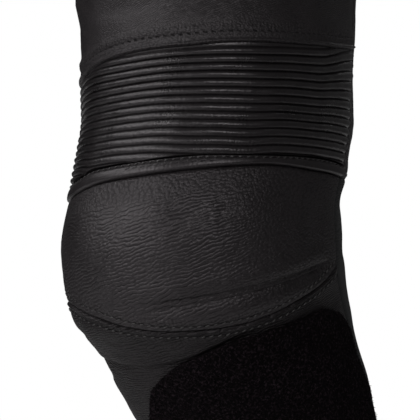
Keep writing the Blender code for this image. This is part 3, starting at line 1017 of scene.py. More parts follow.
Leather = namedtuple("Leather", "pebble stretch depth ripple ripple_depth lines tilt narrowness "
                     "pucker roughness tone coat")
LEATHERS = {  # shares of the settings' own values, and the grain's stretch round the leg
    "thigh_leather": Leather(0.9, 1.4, 2.5, 0.80, 0.75, 0.9, 0.40, 0.55, 1.4, 1.22, 0.98, 0.14),
    "rib_leather": Leather(1.0, 1.3, 1.6, 1.00, 0.05, 0.0, 0.10, 0.30, 0.0, 0.84, 0.85, 0.34),
    "band_leather": Leather(1.0, 1.3, 0.6, 1.00, 0.10, 0.1, 0.10, 0.30, 0.5, 0.98, 1.00, 0.12),
    "knee_leather": Leather(0.95, 1.7, 2.6, 1.00, 0.88, 1.0, 0.10, 0.48, 1.4, 1.00, 1.05, 0.02),
    # The shin's low tone darkens its colour and weakens its reflection: painted shade where the
    # shin faces down, away from the lights.
    "shin_leather": Leather(1.1, 1.2, 3.2, 0.80, 1.50, 1.0, 0.02, 0.35, 1.2, 1.22, 0.62, 0.00),
    "waist_leather": Leather(1.0, 1.2, 0.9, 1.00, 0.30, 0.4, 0.10, 0.30, 0.6, 1.00, 1.00, 0.00),
}
PUCKER_DEPTH = 0.00012
FINISH_PREFIX = "trousers_"     # keeps these apart from the frame's own materials


def new_finish(name):
    finish = bpy.data.materials.new(FINISH_PREFIX + name)
    finish.use_nodes = True
    return finish, Nodes(finish.node_tree)


def shade(colour, by):
    return (*(min(1.0, channel * by) for channel in colour), 1.0)


def leather_finish(name):
    look, made = bpy.context.scene.trousers_leather, LEATHERS[name]
    finish, nodes = new_finish(name)
    marks = nodes.add("ShaderNodeAttribute", out="Vector", attribute_name=CLOTH_MARKS)
    away, stitches, creased = nodes.parts(marks)
    grain = nodes.group(
        leather_grain(), vector=nodes.cloth_place(), pebble=look.pebble * made.pebble,
        stretch=made.stretch, depth=look.grain_depth * made.depth,
        ripple=look.ripple * made.ripple, ripple_depth=look.ripple_depth * made.ripple_depth,
        tilt=made.tilt, narrowness=made.narrowness, lines=made.lines, creased=creased)
    seam = nodes.group(seam_puckers(), away=away, stitches=stitches,
                       depth=PUCKER_DEPTH * made.pucker)
    groove, patches = grain["Groove"], grain["Patches"]
    # hole marks the stitch holes; their nearly black colour below is painted shade.
    hole = seam["Hole"] * min(1.0, made.pucker)
    colour = nodes.mix_colour(patches.spread(0.35, 0.65), shade(look.colour, 0.90 * made.tone),
                              shade(look.colour, 1.10 * made.tone))
    # Painted shade: the colour darkens towards a third of the leather's tone in the grain's
    # grooves and pits, where shade falls.
    colour = nodes.mix_colour(groove.spread(0.25, 0.9, 0.0, 0.60), colour,
                              shade(look.colour, 0.35 * made.tone))
    rough = look.roughness * made.roughness
    gloss = (groove.spread(0.1, 1.0, rough - 0.04, rough + 0.22)
             + patches.spread(0.3, 0.7, -0.03, 0.05))
    normal = nodes.bump(grain["Height"] + seam["Height"])
    nodes.principled(
        # Painted shade: the stitch holes are coloured nearly black.
        Base_Color=nodes.mix_colour(hole, colour, shade(look.colour, 0.05)),
        Roughness=gloss + hole * 0.5, Normal=normal,
        # Painted shade: the reflection is weakened in the grooves and pits, and on panels of lower
        # tone.
        Specular_IOR_Level=groove.spread(0.15, 1.0, 0.54 * min(1.0, made.tone + 0.12), 0.12),
        Specular_Tint=(1.0, 0.92, 0.96, 1.0), Coat_Weight=made.coat, Coat_Roughness=0.24,
        Coat_Normal=normal)
    return finish


def flesh_finish():
    """The leather's napped inner side."""
    look = bpy.context.scene.trousers_leather
    finish, nodes = new_finish("flesh_side")
    fuzz = nodes.group(fibre_fuzz(), vector=nodes.cloth_place(), size=0.0012, depth=0.0002)
    nodes.principled(
        # The colour follows the fuzz's height: fibre-to-fibre tone, lighter on raised fibres and
        # darker in the hollows as painted shade.
        Base_Color=nodes.mix_colour(fuzz["Fibre"].spread(0.3, 0.7), shade(look.lining, 0.75),
                                    shade(look.lining, 1.2)),
        Normal=nodes.bump(fuzz), Roughness=0.95, Specular_IOR_Level=0.2)
    return finish


def stretch_finish():
    look = bpy.context.scene.trousers_stretch
    finish, nodes = new_finish("stretch_fabric")
    knit = nodes.group(stretch_knit(), vector=nodes.cloth_place(), pitch=0.0013, depth=0.00018)
    nodes.principled(
        # Painted shade: the gaps between the loops are darker than the yarn on them.
        Base_Color=nodes.mix_colour(knit["Thread"], shade(look.fabric, 0.5),
                                    shade(look.fabric, 1.25)),
        Normal=nodes.bump(knit), Roughness=0.82, Specular_IOR_Level=0.3, Sheen_Weight=0.05)
    return finish


def pile_finish():
    look = bpy.context.scene.trousers_pile
    finish, nodes = new_finish("loop_pile")
    fuzz = nodes.group(fibre_fuzz(), vector=nodes.object_place(), size=0.0015, depth=0.0008)
    nodes.principled(
        # The colour follows the fuzz's height: fibre-to-fibre tone, with painted highlight on the
        # raised fibres and painted shade in the hollows between.
        Base_Color=nodes.mix_colour(fuzz["Fibre"].spread(0.50, 0.70), shade(look.colour, 0.35),
                                    shade(look.colour, 5.2)),
        Normal=nodes.bump(fuzz), Roughness=0.96, Specular_IOR_Level=0.08)
    return finish


def thread_finish():
    look = bpy.context.scene.trousers_sewing
    finish, nodes = new_finish("sewing_thread")
    fuzz = nodes.group(fibre_fuzz(), vector=nodes.object_place(), size=0.0005, depth=0.00005)
    nodes.principled(
        Base_Color=nodes.mix_colour(fuzz["Fibre"], shade(look.thread, 0.7),
                                    shade(look.thread, 1.4)), Roughness=0.38)
    return finish


def snap_finish():
    finish, nodes = new_finish("snap_metal")
    fuzz = nodes.group(fibre_fuzz(), vector=nodes.object_place(), size=0.0020, depth=0.00002)
    nodes.principled(Base_Color=(0.050, 0.050, 0.055, 1.0), Metallic=1.0,
                     Roughness=fuzz["Fibre"].spread(0.3, 0.7, 0.28, 0.42))
    return finish


FINISHES = {"flesh_side": flesh_finish, "stretch_fabric": stretch_finish,
            "loop_pile": pile_finish, "sewing_thread": thread_finish, "snap_metal": snap_finish}


def finish_of(name):
    """A material by its name, made when it is first asked for."""
    made = bpy.data.materials.get(FINISH_PREFIX + name)
    if made:
        return made
    return leather_finish(name) if name in LEATHERS else FINISHES[name]()


def finishes(outer, inner="flesh_side"):
    return [finish_of(outer), finish_of(inner)]


# ---------------------------------------------------------------- geometry node groups


@node_group("Stitch rows", "Geometry", "Geometry")
def stitch_rows(nodes, geometry=GEOMETRY, spacing=0.0032, length=0.0026, thickness=0.0007,
                lean=0.1, seed=3, thread=MATERIAL):
    """Stitches along polylines whose points carry an "up" vector."""
    curve = nodes.add("GeometryNodeMeshToCurve", {"Mesh": geometry})
    stops = nodes.add("GeometryNodeResampleCurve", {"Curve": curve, "Length": spacing},
                      mode="LENGTH")
    facing = nodes.add("FunctionNodeAxesToRotation", {
        0: nodes.add("GeometryNodeInputTangent"), 1: nodes.attribute("up", "FLOAT_VECTOR")},
        primary_axis="X", secondary_axis="Z")
    turn = nodes.combine(0.0, 0.0, lean + nodes.random(-0.10, 0.10, seed))
    ball = nodes.add("GeometryNodeMeshUVSphere", {"Segments": 6, "Rings": 4, "Radius": 0.5})
    ball = nodes.add("GeometryNodeSetShadeSmooth", {0: ball})
    size = nodes.combine(length * nodes.random(0.85, 1.08, seed + 1.0), thickness, thickness)
    return [nodes.scattered(stops, ball, nodes.turned(facing, turn), size, thread)]


@node_group("Stretch ribs", "Geometry", "Geometry")
def stretch_ribs(nodes, geometry=GEOMETRY, height=0.0019, fullness=0.55, unevenness=0.3, seed=7):
    """Raises ribs on the stretch panel along "lift", by the running number in "rib"."""
    rib = nodes.attribute("rib")
    round_leg = nodes.attribute("round_leg")
    arch = (rib.math("FRACT") * pi).math("SINE").math("MAXIMUM", 0.0).math("POWER", fullness)
    number = rib.math("FLOOR") * 3.7 + seed

    def uneven(scale):
        place = nodes.combine(round_leg * scale, number)
        return nodes.noise(place, 1.0, 1.0, dimensions="3D") - 0.5

    change = uneven(45.0) + uneven(330.0) * 0.45
    raised = arch * (1.0 + change * unevenness) * height
    return [nodes.add("GeometryNodeSetPosition", {
        "Geometry": geometry, "Offset": nodes.attribute("lift", "FLOAT_VECTOR") * raised})]


@node_group("Pile tufts", "Geometry", "Geometry")
def pile_tufts(nodes, geometry=GEOMETRY, density=3e5, height=0.0012, width=0.0005, seed=4,
               pile=MATERIAL):
    """Small tufts standing on a mesh's faces."""
    spots = nodes.add("GeometryNodeDistributePointsOnFaces", {
        "Mesh": geometry, "Density": density, "Seed": seed})
    tilt = nodes.add("FunctionNodeRandomValue", {
        0: (-0.7, -0.7, 0.0), 1: (0.7, 0.7, FULL_TURN), "Seed": seed}, data_type="FLOAT_VECTOR")
    tuft = nodes.add("GeometryNodeMeshCone", {
        "Vertices": 4, "Radius Top": 0.16, "Radius Bottom": 0.5, "Depth": 1.0})
    size = nodes.combine(width, width, height * nodes.random(0.5, 1.15, seed + 1.0))
    return [nodes.scattered(spots, tuft, nodes.turned(spots["Rotation"], tilt), size, pile)]


def run_tree(made, tree, **inputs):
    """Runs a group on an object, and leaves the result as the object's plain mesh."""
    modifier = made.modifiers.new(tree.name, "NODES")
    modifier.node_group = tree
    sockets = {item.name: item.identifier for item in tree.interface.items_tree
               if item.in_out == "INPUT"}
    for key, value in inputs.items():
        modifier[sockets[label(key)]] = value
    graph = bpy.context.evaluated_depsgraph_get()
    graph.update()
    result = bpy.data.meshes.new_from_object(made.evaluated_get(graph))
    old = made.data
    made.modifiers.remove(modifier)
    made.data = result
    result.name = made.name
    bpy.data.meshes.remove(old)


def sew(name, rows, side="left", seed=3):
    """Stitches along rows of (points, normals)."""
    points, ups, edges = [], [], []
    for places, normals in rows:
        start = len(points)
        points += places.tolist()
        ups += normals.tolist()
        edges += [(start + k, start + k + 1) for k in range(len(places) - 1)]
    turn = MIRROR if side == "right" else np.ones(3)
    mesh = bpy.data.meshes.new(name)
    mesh.from_pydata((np.array(points) * turn).tolist(), edges, [])
    made = add_object(name, mesh)
    vertex_data(made, "up", np.array(ups) * turn)
    look = bpy.context.scene.trousers_sewing
    run_tree(made, stitch_rows(), spacing=look.spacing, length=look.length,
             thickness=look.thickness, lean=look.lean * (-1 if side == "right" else 1),
             seed=seed, thread=finish_of("sewing_thread"))
    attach(made, BODY)
    return made


# ---------------------------------------------------------------- attaching the pieces

Flat = namedtuple("Flat", "width length area held slot")
FLATS = {  # each cut's flat size in metres and its area in square metres
    "waistband": Flat(0.845, 0.040, 0.033, "stretched", "leather"),
    "waist_tab": Flat(0.085, 0.032, 0.0026, "laid", "leather"),
    "fly_placket": Flat(0.045, 0.125, 0.0050, "laid", "leather"),
    "thigh_front": Flat(0.270, 0.500, 0.120, "hung", "leather"),
    "thigh_back": Flat(0.300, 0.570, 0.140, "hung", "leather"),
    "accordion": Flat(0.280, 0.085, 0.0220, "gathered", "rib_stretch"),
    "knee_band": Flat(0.270, 0.014, 0.0036, "stretched", "leather"),
    "knee_cup": Flat(0.290, 0.065, 0.0170, "stretched", "leather"),
    "shin_front": Flat(0.240, 0.350, 0.070, "hung", "leather"),
    "loop_patch": Flat(0.150, 0.125, 0.0170, "laid", "loop_pile"),
    "calf_back": Flat(0.200, 0.400, 0.060, "hung", "stretch_fabric"),
}


def declare(made, piece, nodes, extras=(), rests_on=()):
    """Ties a finished sheet to the frame."""
    flat = FLATS[piece]
    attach(made, BODY)
    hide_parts(*nodes)


def sewn_piece(panel, piece, stuff, outer, sewn, seed, thickness=LEATHER, inner="flesh_side"):
    """A panel's object with its stitches, declared as one piece."""
    made = panel_object(f"{piece}_{stuff}", panel, thickness, finishes(outer, inner), rows=sewn)
    name = f"{panel.side}_{piece}"
    rows = [panel.row(*row) for row in sewn]
    extras = [sew(name + "_stitches", rows, panel.side, seed)]
    if piece.startswith("thigh") and panel.side == "left":
        extras.append(seam_allowance(panel.face))
    declare(made, piece, [name], extras)


# ---------------------------------------------------------------- thighs

CROTCH_CREASES = table(
    Crease,
    (1.00, -0.060, 0.62, -0.035, 0.004, 0.0022, 0.0050),
    (1.00, -0.030, 0.55, 0.012, 0.003, 0.0030, 0.0060),
    (0.99, -0.006, 0.66, 0.046, -0.003, 0.0024, 0.0050),
    (0.98, 0.022, 0.70, 0.082, -0.004, 0.0018, 0.0050),
    (0.30, -0.046, 0.02, -0.030, 0.003, 0.0014, 0.0060),
    (0.42, 0.060, 0.12, 0.078, 0.004, 0.0010, 0.0070))
THIGH_CREASES = table(
    Crease,
    (0.08, 0.205, 0.44, 0.222, 0.006, 0.0012, 0.0060),
    (0.98, 0.192, 0.64, 0.218, 0.005, 0.0014, 0.0055),
    (0.72, 0.232, 0.40, 0.240, 0.003, 0.0007, 0.0040),
    (0.20, 0.150, 0.52, 0.162, -0.005, 0.0008, 0.0080))
SEAT_CREASES = table(
    Crease,
    (0.95, 0.018, 0.34, 0.040, 0.010, 0.0038, 0.0070),
    (0.90, 0.048, 0.48, 0.066, 0.006, 0.0022, 0.0060),
    (0.60, 0.078, 0.18, 0.070, 0.006, 0.0016, 0.0065),
    (0.98, -0.060, 0.66, -0.020, 0.006, 0.0020, 0.0060),
    (0.20, -0.150, 0.55, -0.130, 0.006, 0.0012, 0.0080))
HOLLOW_CREASES = table(  # above and behind the knee
    Crease,
    (0.06, 0.262, 0.80, 0.268, 0.005, 0.0022, 0.0045),
    (0.96, 0.282, 0.22, 0.289, 0.004, 0.0028, 0.0050),
    (0.10, 0.303, 0.88, 0.308, 0.005, 0.0030, 0.0048),
    (0.70, 0.240, 0.12, 0.236, -0.004, 0.0014, 0.0060),
    (0.40, 0.322, 0.92, 0.318, 0.003, 0.0020, 0.0040))

HEM_STITCHES = 0.0070           # the thigh hem's sewing, up from its edge
SEAM_STITCHES = 0.0030          # a leather seam's top stitching, in from the seam
BACK_STITCHES = 0.0035
ALLOWANCE_DEPTH = 0.0060        # how far inside the cloth the middle seam's turned-in edges lie
ALLOWANCE_THICKNESS = 0.0010
ALLOWANCE_FROM = 0.955          # t of the turned-in edges' own edges


def seam_allowance(face):
    """The middle seam's turned-in edges: a strip inside, from the waistband to the crotch."""
    s = np.linspace(WAIST_S, 0.0, 48)[:, None]
    t = np.linspace(ALLOWANCE_FROM, 1.0, 6)[None]
    left, normal = cloth(face, t, s), outward(face, t, s)
    left[:, -1, 0] = normal[:, -1, 0] = 0.0
    normal /= np.linalg.norm(normal, axis=-1, keepdims=True)
    grids = []
    for depth in (ALLOWANCE_DEPTH, ALLOWANCE_DEPTH + ALLOWANCE_THICKNESS):
        half = left - normal * depth
        grids.append(np.concatenate([half, half[:, -2::-1] * MIRROR], axis=1))
    made = wall(f"{face}_seam_allowance", *grids, ring_uv(grids[0]), face == "back",
                finishes("thigh_leather"))
    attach(made, BODY)
    return made


def thigh_front(side):
    hem_zone, turned_up = shifted(THIGH_HEM, -0.030), shifted(THIGH_HEM, -0.0115)
    panel = cut_panel("front", side, 200, (CROTCH, hem_zone, 50), (hem_zone, turned_up, 24),
                      (turned_up, THIGH_HEM, 34), torso_rows=50)
    panel.height += HEM_PROUD * smooth((0.0150 - panel.from_foot) / 0.0100)
    ridge(panel, "foot", inset=0.0014, height=0.0012, half=0.0010)
    ridge(panel, "foot", inset=0.0, height=-0.0012, half=0.0005)
    puffed = bell((panel.from_foot - HEM_STITCHES - 0.0030) / 0.0018)
    panel.height += 0.0009 * puffed * smooth((panel.t - 0.30) / 0.20)
    undulation(panel, depth=0.0011, size=0.045, seed=11)
    add_creases(panel, CROTCH_CREASES + THIGH_CREASES)
    compression(panel, depth=0.00022, long=0.0120, high=0.0042, seed=21,
                mask=edge_mask(panel, 0.010))
    gathers(panel, "foot", inset=0.0108, depth=0.00030, reach=0.0022, width=0.0026, seed=31)
    stitch_groove(panel, "foot", HEM_STITCHES, depth=0.00030, half=0.0009)
    turned_edges(panel, edges=("top", "side", "inseam"))
    panel.creased = 0.25 + 0.75 * smooth((panel.from_foot - 0.0080) / 0.0120)
    sewn_piece(panel, "thigh_front", "leather", "thigh_leather", [
        SewnRow("foot", HEM_STITCHES, 0.004, 0.996, -0.0005),
        SewnRow("top", SEAM_STITCHES, 0.01, 0.99, 0.0),
        SewnRow("inseam", SEAM_STITCHES, 0.0, 0.42, 0.0)], seed=5)


def thigh_back(side):
    hem = back_cut(THIGH_HEM)
    panel = cut_panel("back", side, 78, (CROTCH, hem, 56), (hem, back_cut(BAND_EDGE), 40),
                      torso_rows=50)
    undulation(panel, depth=0.0014, size=0.050, seed=41)
    add_creases(panel, SEAT_CREASES + HOLLOW_CREASES)
    compression(panel, depth=0.00025, long=0.014, high=0.0055, seed=51,
                mask=edge_mask(panel, 0.010))
    turned_edges(panel)
    sewn_piece(panel, "thigh_back", "leather", "thigh_leather", [
        SewnRow("side", BACK_STITCHES, 0.01, 0.99, 0.0),
        SewnRow("top", SEAM_STITCHES, 0.01, 0.99, 0.0),
        SewnRow("inseam", SEAM_STITCHES, 0.0, 0.40, 0.0),
        SewnRow("foot", BACK_STITCHES, 0.01, 0.99, 0.0)], seed=6)


# ---------------------------------------------------------------- knee

KNEE_CREASES = table(
    Crease,
    (0.72, 0.3395, 0.52, 0.3435, 0.001, 0.00012, 0.0018),
    (0.62, 0.3500, 0.40, 0.3540, 0.001, 0.00010, 0.0018),
    (0.80, 0.3620, 0.60, 0.3600, 0.001, 0.00014, 0.0020),
    (0.56, 0.3660, 0.30, 0.3690, 0.001, 0.00012, 0.0018),
    (0.30, 0.3420, 0.06, 0.3460, 0.001, 0.00014, 0.0024),
    (0.22, 0.3600, 0.03, 0.3580, 0.001, 0.00010, 0.0024))
SHIN_CREASES = table(
    Crease,
    (0.96, 0.3900, 0.66, 0.3870, 0.001, 0.0010, 0.0022),
    (0.62, 0.3880, 0.36, 0.3925, 0.001, 0.0007, 0.0018),
    (0.98, 0.4080, 0.70, 0.4120, 0.002, 0.0012, 0.0030),
    (0.94, 0.4300, 0.72, 0.4260, 0.002, 0.0009, 0.0035),
    (0.90, 0.5600, 0.45, 0.5700, 0.004, 0.0010, 0.0060),
    (0.10, 0.6100, 0.55, 0.6240, 0.004, 0.0010, 0.0060),
    (0.88, 0.6500, 0.40, 0.6560, 0.003, 0.0012, 0.0055),
    (0.12, 0.6800, 0.60, 0.6880, 0.003, 0.0013, 0.0050))
CALF_CREASES = table(
    Crease,
    (0.04, 0.3440, 0.80, 0.3490, 0.003, 0.0026, 0.0045),
    (0.98, 0.3580, 0.24, 0.3640, 0.003, 0.0032, 0.0046),
    (0.05, 0.3760, 0.86, 0.3790, 0.004, 0.0034, 0.0050),
    (0.95, 0.3940, 0.30, 0.3980, 0.003, 0.0026, 0.0046),
    (0.08, 0.4130, 0.66, 0.4160, 0.004, 0.0020, 0.0050),
    (0.92, 0.4360, 0.40, 0.4420, 0.004, 0.0014, 0.0060),
    (0.15, 0.6400, 0.80, 0.6480, 0.004, 0.0012, 0.0060),
    (0.90, 0.6720, 0.30, 0.6780, 0.003, 0.0014, 0.0050),
    (0.12, 0.6960, 0.70, 0.6990, 0.002, 0.0010, 0.0045))

RIB_FIRST, RIB_LAST = -0.8, 18.6    # the ribs' numbers at the panel's furthest corners
RIB_SPREAD = 0.13               # how much further apart the upper ribs lie
ROWS_EACH = 10
RIB_FULLNESS = 0.60
RIB_UNEVENNESS = 0.35
RIB_CORNER = 60                 # degrees from which an edge shades sharp
ROW_APART = 0.00001             # what keeps the pressed-together rows in their order
BAND_STITCHES = 0.0016          # the knee band's sewing, down from its top
CUP_STITCHES = 0.0045           # the knee cup's seam: its sewing on both sides
CUFF_STITCHES = 0.0120          # the leg hem's sewing, up from its edge
CUFF_GROOVE = 0.0006
CORNER_SHARE = 0.10             # how far down the patch its rounded corners reach
TUFT_WIDTH = 0.00045


def rib_rows(columns):
    """Rows that follow the ribs, pressed together where the hem or the knee band cuts across."""
    share = np.arange(RIB_FIRST, RIB_LAST, 1 / ROWS_EACH)[:, None] / RIBS
    share = share * (1 + RIB_SPREAD * (1 - share))
    first, last = along(RIB_LINES, "first", columns), along(RIB_LINES, "last", columns)
    order = np.arange(len(share))[:, None] * ROW_APART
    hem, top = line(THIGH_HEM, columns), line(BAND_TOP, columns)
    return np.clip(first + (last - first) * share, hem + order, top - order[::-1])


def rib_number(panel):
    """Each point's place among the ribs; the inverse of how rib_rows spreads them."""
    first, last = along(RIB_LINES, "first", panel.t), along(RIB_LINES, "last", panel.t)
    share = (panel.s - first) / (last - first)
    widest = 1 + RIB_SPREAD
    root = np.sqrt(np.maximum(widest ** 2 - 4 * RIB_SPREAD * share, 0.0))
    return RIBS * (widest - root) / (2 * RIB_SPREAD)


def accordion(side):
    columns = edge_crowded(205)
    panel = Panel("front", columns, rib_rows(columns), side)
    undulation(panel, depth=0.0004, size=0.020, seed=61)
    panel.height -= 0.0003
    made = panel_object("accordion_ribs", panel, STRETCH, finishes("rib_leather"))
    low_ends = smooth(panel.from_side / 0.004) * smooth(panel.from_inseam / 0.004)
    low_ends = low_ends * (0.20 + 0.80 * smooth(panel.from_top / 0.0045))
    lift = panel.normal * panel.mirror() * (0.25 + 0.75 * low_ends[..., None])
    spare = np.zeros((len(made.data.vertices) - panel.s.size, 3))
    vertex_data(made, "rib", np.append(rib_number(panel).ravel(), spare[:, 0]))
    vertex_data(made, "round_leg", np.append(panel.from_side.ravel(), spare[:, 0]))
    vertex_data(made, "lift", np.append(lift.reshape(-1, 3), spare, axis=0))
    look = bpy.context.scene.trousers_stretch
    run_tree(made, stretch_ribs(), height=look.rib_height, fullness=RIB_FULLNESS,
             unevenness=RIB_UNEVENNESS, seed=panel.seed(7))
    made.data.set_sharp_from_angle(angle=radians(RIB_CORNER))
    declare(made, "accordion", [f"{side}_accordion"])


def knee_band(side):
    panel = cut_panel("front", side, 230, (BAND_TOP, BAND_EDGE, 18))
    share = panel.from_top / panel.from_top[-1:]
    shelf = 0.45 * smooth(share / 0.10) * smooth((1 - share) / 0.06)
    roll = np.sqrt(np.clip(1 - ((share - 0.62) / 0.39) ** 2, 0, 1))
    panel.height += KNEE_BAND_PROUD * (shelf + 0.75 * roll)
    gathers(panel, "top", inset=0.0028, depth=0.00012, reach=0.0020, width=0.0030, seed=71)
    stitch_groove(panel, "top", BAND_STITCHES, depth=0.00040, half=0.0008)
    turned_edges(panel, depth=0.0008, reach=0.0006)
    sewn_piece(panel, "knee_band", "leather", "band_leather", [
        SewnRow("top", BAND_STITCHES, 0.01, 0.99, 0.0003),
        SewnRow("top", 0.0043, 0.34, 0.52, -0.0006)], seed=8)


def knee_cup(side):
    under = raised(shifted(CUP_CREASE, 0.0080), CUP_SEAM, 0.0070)
    over = shifted(under, -0.0115)
    panel = cut_panel("front", side, 240, (BAND_EDGE, over, 72), (over, under, 30),
                      (under, CUP_SEAM, 26))
    ends = smooth((panel.t - 0.02) / 0.06) * smooth((0.50 - panel.t) / 0.10)
    away = panel.s - line(CUP_CREASE, panel.t)
    away = away + 0.0003 * noise(panel.from_side / 0.006, 0.0, panel.seed(83))
    panel.height += ends * (fold_step(away, depth=0.0017, reach=0.0045, lip=0.0004)
                            + fold_step(away - 0.0026, depth=0.0015, reach=0.0065, lip=0.0004))
    rolls = 0.0010 * bell((away + 0.0050) / 0.0036) - 0.0011 * bell((away - 0.0012) / 0.0020)
    panel.height += ends * (rolls + 0.0013 * bell((away - 0.0085) / 0.0036))
    undulation(panel, depth=0.0003, size=0.030, seed=81)
    add_creases(panel, KNEE_CREASES)
    inner_half = 0.55 + 0.45 * smooth((panel.t - 0.18) / 0.25)
    compression(panel, depth=0.00008, long=0.0095, high=0.0034, seed=91,
                mask=inner_half * edge_mask(panel, 0.004))
    gathers(panel, "foot", inset=0.0060, depth=0.00040, reach=0.0060, width=0.0030, seed=101,
            slant=1.3)
    gathers(panel, "top", inset=0.0030, depth=0.00015, reach=0.0035, width=0.0040, seed=102)
    stitch_groove(panel, "foot", CUP_STITCHES)
    turned_edges(panel, depth=0.0008, reach=0.0009)
    panel.creased = 0.30 + 0.70 * smooth((panel.t - 0.12) / 0.22)
    panel.creased = panel.creased * (0.30 + 0.70 * smooth((panel.from_top - 0.010) / 0.012))
    sewn_piece(panel, "knee_cup", "leather", "knee_leather",
               [SewnRow("foot", CUP_STITCHES, 0.005, 0.995, 0.0003)], seed=9)


def patch_mask(panel):
    """1 on the shin under the pile patch, 0 a little outside it."""
    inside = smooth((PATCH_INSEAM_EDGE + 0.02 - panel.t) / 0.02)
    inside = inside * smooth((panel.s - line(PATCH_TOP, panel.t) + 0.004) / 0.004)
    return inside * smooth((line(PATCH_FOOT, panel.t) + 0.004 - panel.s) / 0.004)


def knee_fold(panel):
    """The soft fold under the knee's bulge."""
    ends = smooth((panel.t - 0.18) / 0.12) * smooth((0.84 - panel.t) / 0.16)
    away = panel.s - line(FOLD_CREASE, panel.t)
    roll = 0.0004 * bell((away + 0.0050) / 0.0024)
    return ends * (fold_step(away, depth=0.0030, reach=0.0080, lip=0.0016) + roll)


def shin_front(side):
    below_fold = shifted(KNEE_FOLD, 0.014)
    stretches = ((CUP_SEAM, KNEE_FOLD, 22), (KNEE_FOLD, below_fold, 26),
                 (below_fold, PATCH_FOOT, 48), (PATCH_FOOT, HEM, 66))
    panel = cut_panel("front", side, 128, *stretches)
    free = 1 - patch_mask(panel)
    panel.height += knee_fold(panel)
    undulation(panel, depth=0.0008, size=0.035, seed=111)
    panel.height *= np.where(panel.height > 0, free, 1.0)
    detail = cut_panel("front", side, 128, *stretches)
    add_creases(detail, SHIN_CREASES)
    compression(detail, depth=0.00022, long=0.011, high=0.0036, seed=121,
                mask=edge_mask(detail, 0.006))
    gathers(detail, "top", inset=0.0070, depth=0.00035, reach=0.0050, width=0.0035, seed=131)
    panel.height += detail.height * free
    ridge(panel, "top", inset=0.0011, height=0.0008, half=0.0007)
    stitch_groove(panel, "top", CUP_STITCHES)
    stitch_groove(panel, "foot", CUFF_STITCHES, depth=CUFF_GROOVE)
    turned_edges(panel, depth=0.0008, reach=0.0009)
    sewn_piece(panel, "shin_front", "leather", "shin_leather", [
        SewnRow("top", CUP_STITCHES, 0.005, 0.995, 0.0004),
        SewnRow("foot", CUFF_STITCHES, 0.01, 0.99, 0.0)], seed=10)


def loop_patch(side):
    """The pile patch, its two top corners rounded off and its outer edge clear of the seam."""
    across = edge_crowded(88, 0.005)
    down = edge_crowded(86, 0.005)
    corner = 1 - np.sqrt(1 - (1 - np.clip(down / CORNER_SHARE, 0, 1)) ** 2)
    start = 0.012 + 0.030 * corner
    end = PATCH_INSEAM_EDGE + 0.010 - 0.022 * corner
    t = start[:, None] + (end - start)[:, None] * across
    top, foot = line(PATCH_TOP, t), line(PATCH_FOOT, t)
    panel = Panel("front", t, top + (foot - top) * down[:, None], side, seamed=False)
    low = knee_fold(panel)
    x, y = panel.from_side, panel.s
    fuzz = layered(x / 0.0022, y / 0.0022, panel.seed(141), 3)
    panel.height += low + SEAM_GAP + PATCH_THICKNESS * 0.80
    panel.height += 0.00035 * fuzz + 0.0005 * layered(x / 0.012, y / 0.012, panel.seed(142), 2)
    turned_edges(panel, depth=0.0011, reach=0.0012)
    made = panel_object("loop_patch_pile", panel, PATCH_THICKNESS * 0.5,
                        finishes("loop_pile", "loop_pile"), lift=SEAM_GAP * 0.5)
    nap = add_object(f"{side}_loop_patch_tufts", made.data.copy())
    trim = bmesh.new()
    trim.from_mesh(nap.data)
    under = [face for face in trim.faces if face.material_index == 1]
    bmesh.ops.delete(trim, geom=under, context="FACES")
    trim.to_mesh(nap.data)
    trim.free()
    look = bpy.context.scene.trousers_pile
    run_tree(nap, pile_tufts(), density=look.density, height=look.tuft, width=TUFT_WIDTH,
             seed=look.seed, pile=finish_of("loop_pile"))
    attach(nap, BODY)
    declare(made, "loop_patch", [f"{side}_loop_patch"], [nap])


def calf_back(side):
    below = cuts((0, 0.45), (1, 0.45))
    panel = cut_panel("back", side, 78, (back_cut(BAND_EDGE), below, 66), (below, HEM, 84))
    undulation(panel, depth=0.0009, size=0.040, seed=151)
    add_creases(panel, CALF_CREASES)
    stitch_groove(panel, "foot", CUFF_STITCHES, depth=CUFF_GROOVE)
    turned_edges(panel)
    sewn_piece(panel, "calf_back", "fabric", "stretch_fabric",
               [SewnRow("foot", CUFF_STITCHES, 0.01, 0.99, 0.0)],
               seed=12, thickness=STRETCH, inner="stretch_fabric")


# ---------------------------------------------------------------- waist

MIDDLE_SEAM_END = 0.9985        # t of the fly strip's edge, just beside the middle seam
PLACKET_SPREAD = 0.178          # how much of t the fly strip takes up
PLACKET_CURVE_FROM = 0.72       # share of its length where it starts to curve in
TAB_POINTS = 8                  # the ring's points on each side of the middle that the tab uses
TAB_LEFT, TAB_RIGHT = 0.046, 0.027      # how far the tab reaches from the middle
TAB_CORNER = 0.010


def waist_ring(heights, out, columns):
    """Points all round the waist, from the middle front round the left side and back to it.

    out is how far outside the cloth each height's points lie."""
    out = np.broadcast_to(out, heights.shape)[:, None, None]
    stretches = []
    for face, turn in (("front", columns[::-1]), ("back", columns[1:])):
        t, s = np.broadcast_arrays(turn, heights[:, None] - RISE)
        stretches.append(cloth(face, t, s) + outward(face, t, s) * out)
    left = np.concatenate(stretches, axis=1)
    ring = np.concatenate([left, left[:, ::-1][:, 1:] * MIRROR], axis=1)
    ring[:, 0, 0] = SEAM_GAP
    ring[:, -1, 0] = -SEAM_GAP
    return ring


def ring_uv(points):
    steps = np.linalg.norm(np.diff(points, axis=1), axis=-1)
    round_waist = np.concatenate([np.zeros((len(points), 1)), np.cumsum(steps, axis=1)], axis=1)
    return np.stack([round_waist, points[..., 2]], axis=-1)


def grid_normals(points):
    normal = np.cross(np.gradient(points, axis=0), np.gradient(points, axis=1))
    return normal / np.linalg.norm(normal, axis=-1, keepdims=True)


def ring_rows(points, rows, keep=slice(None)):
    normals = grid_normals(points)
    return [(points[row][keep], normals[row][keep]) for row in rows]


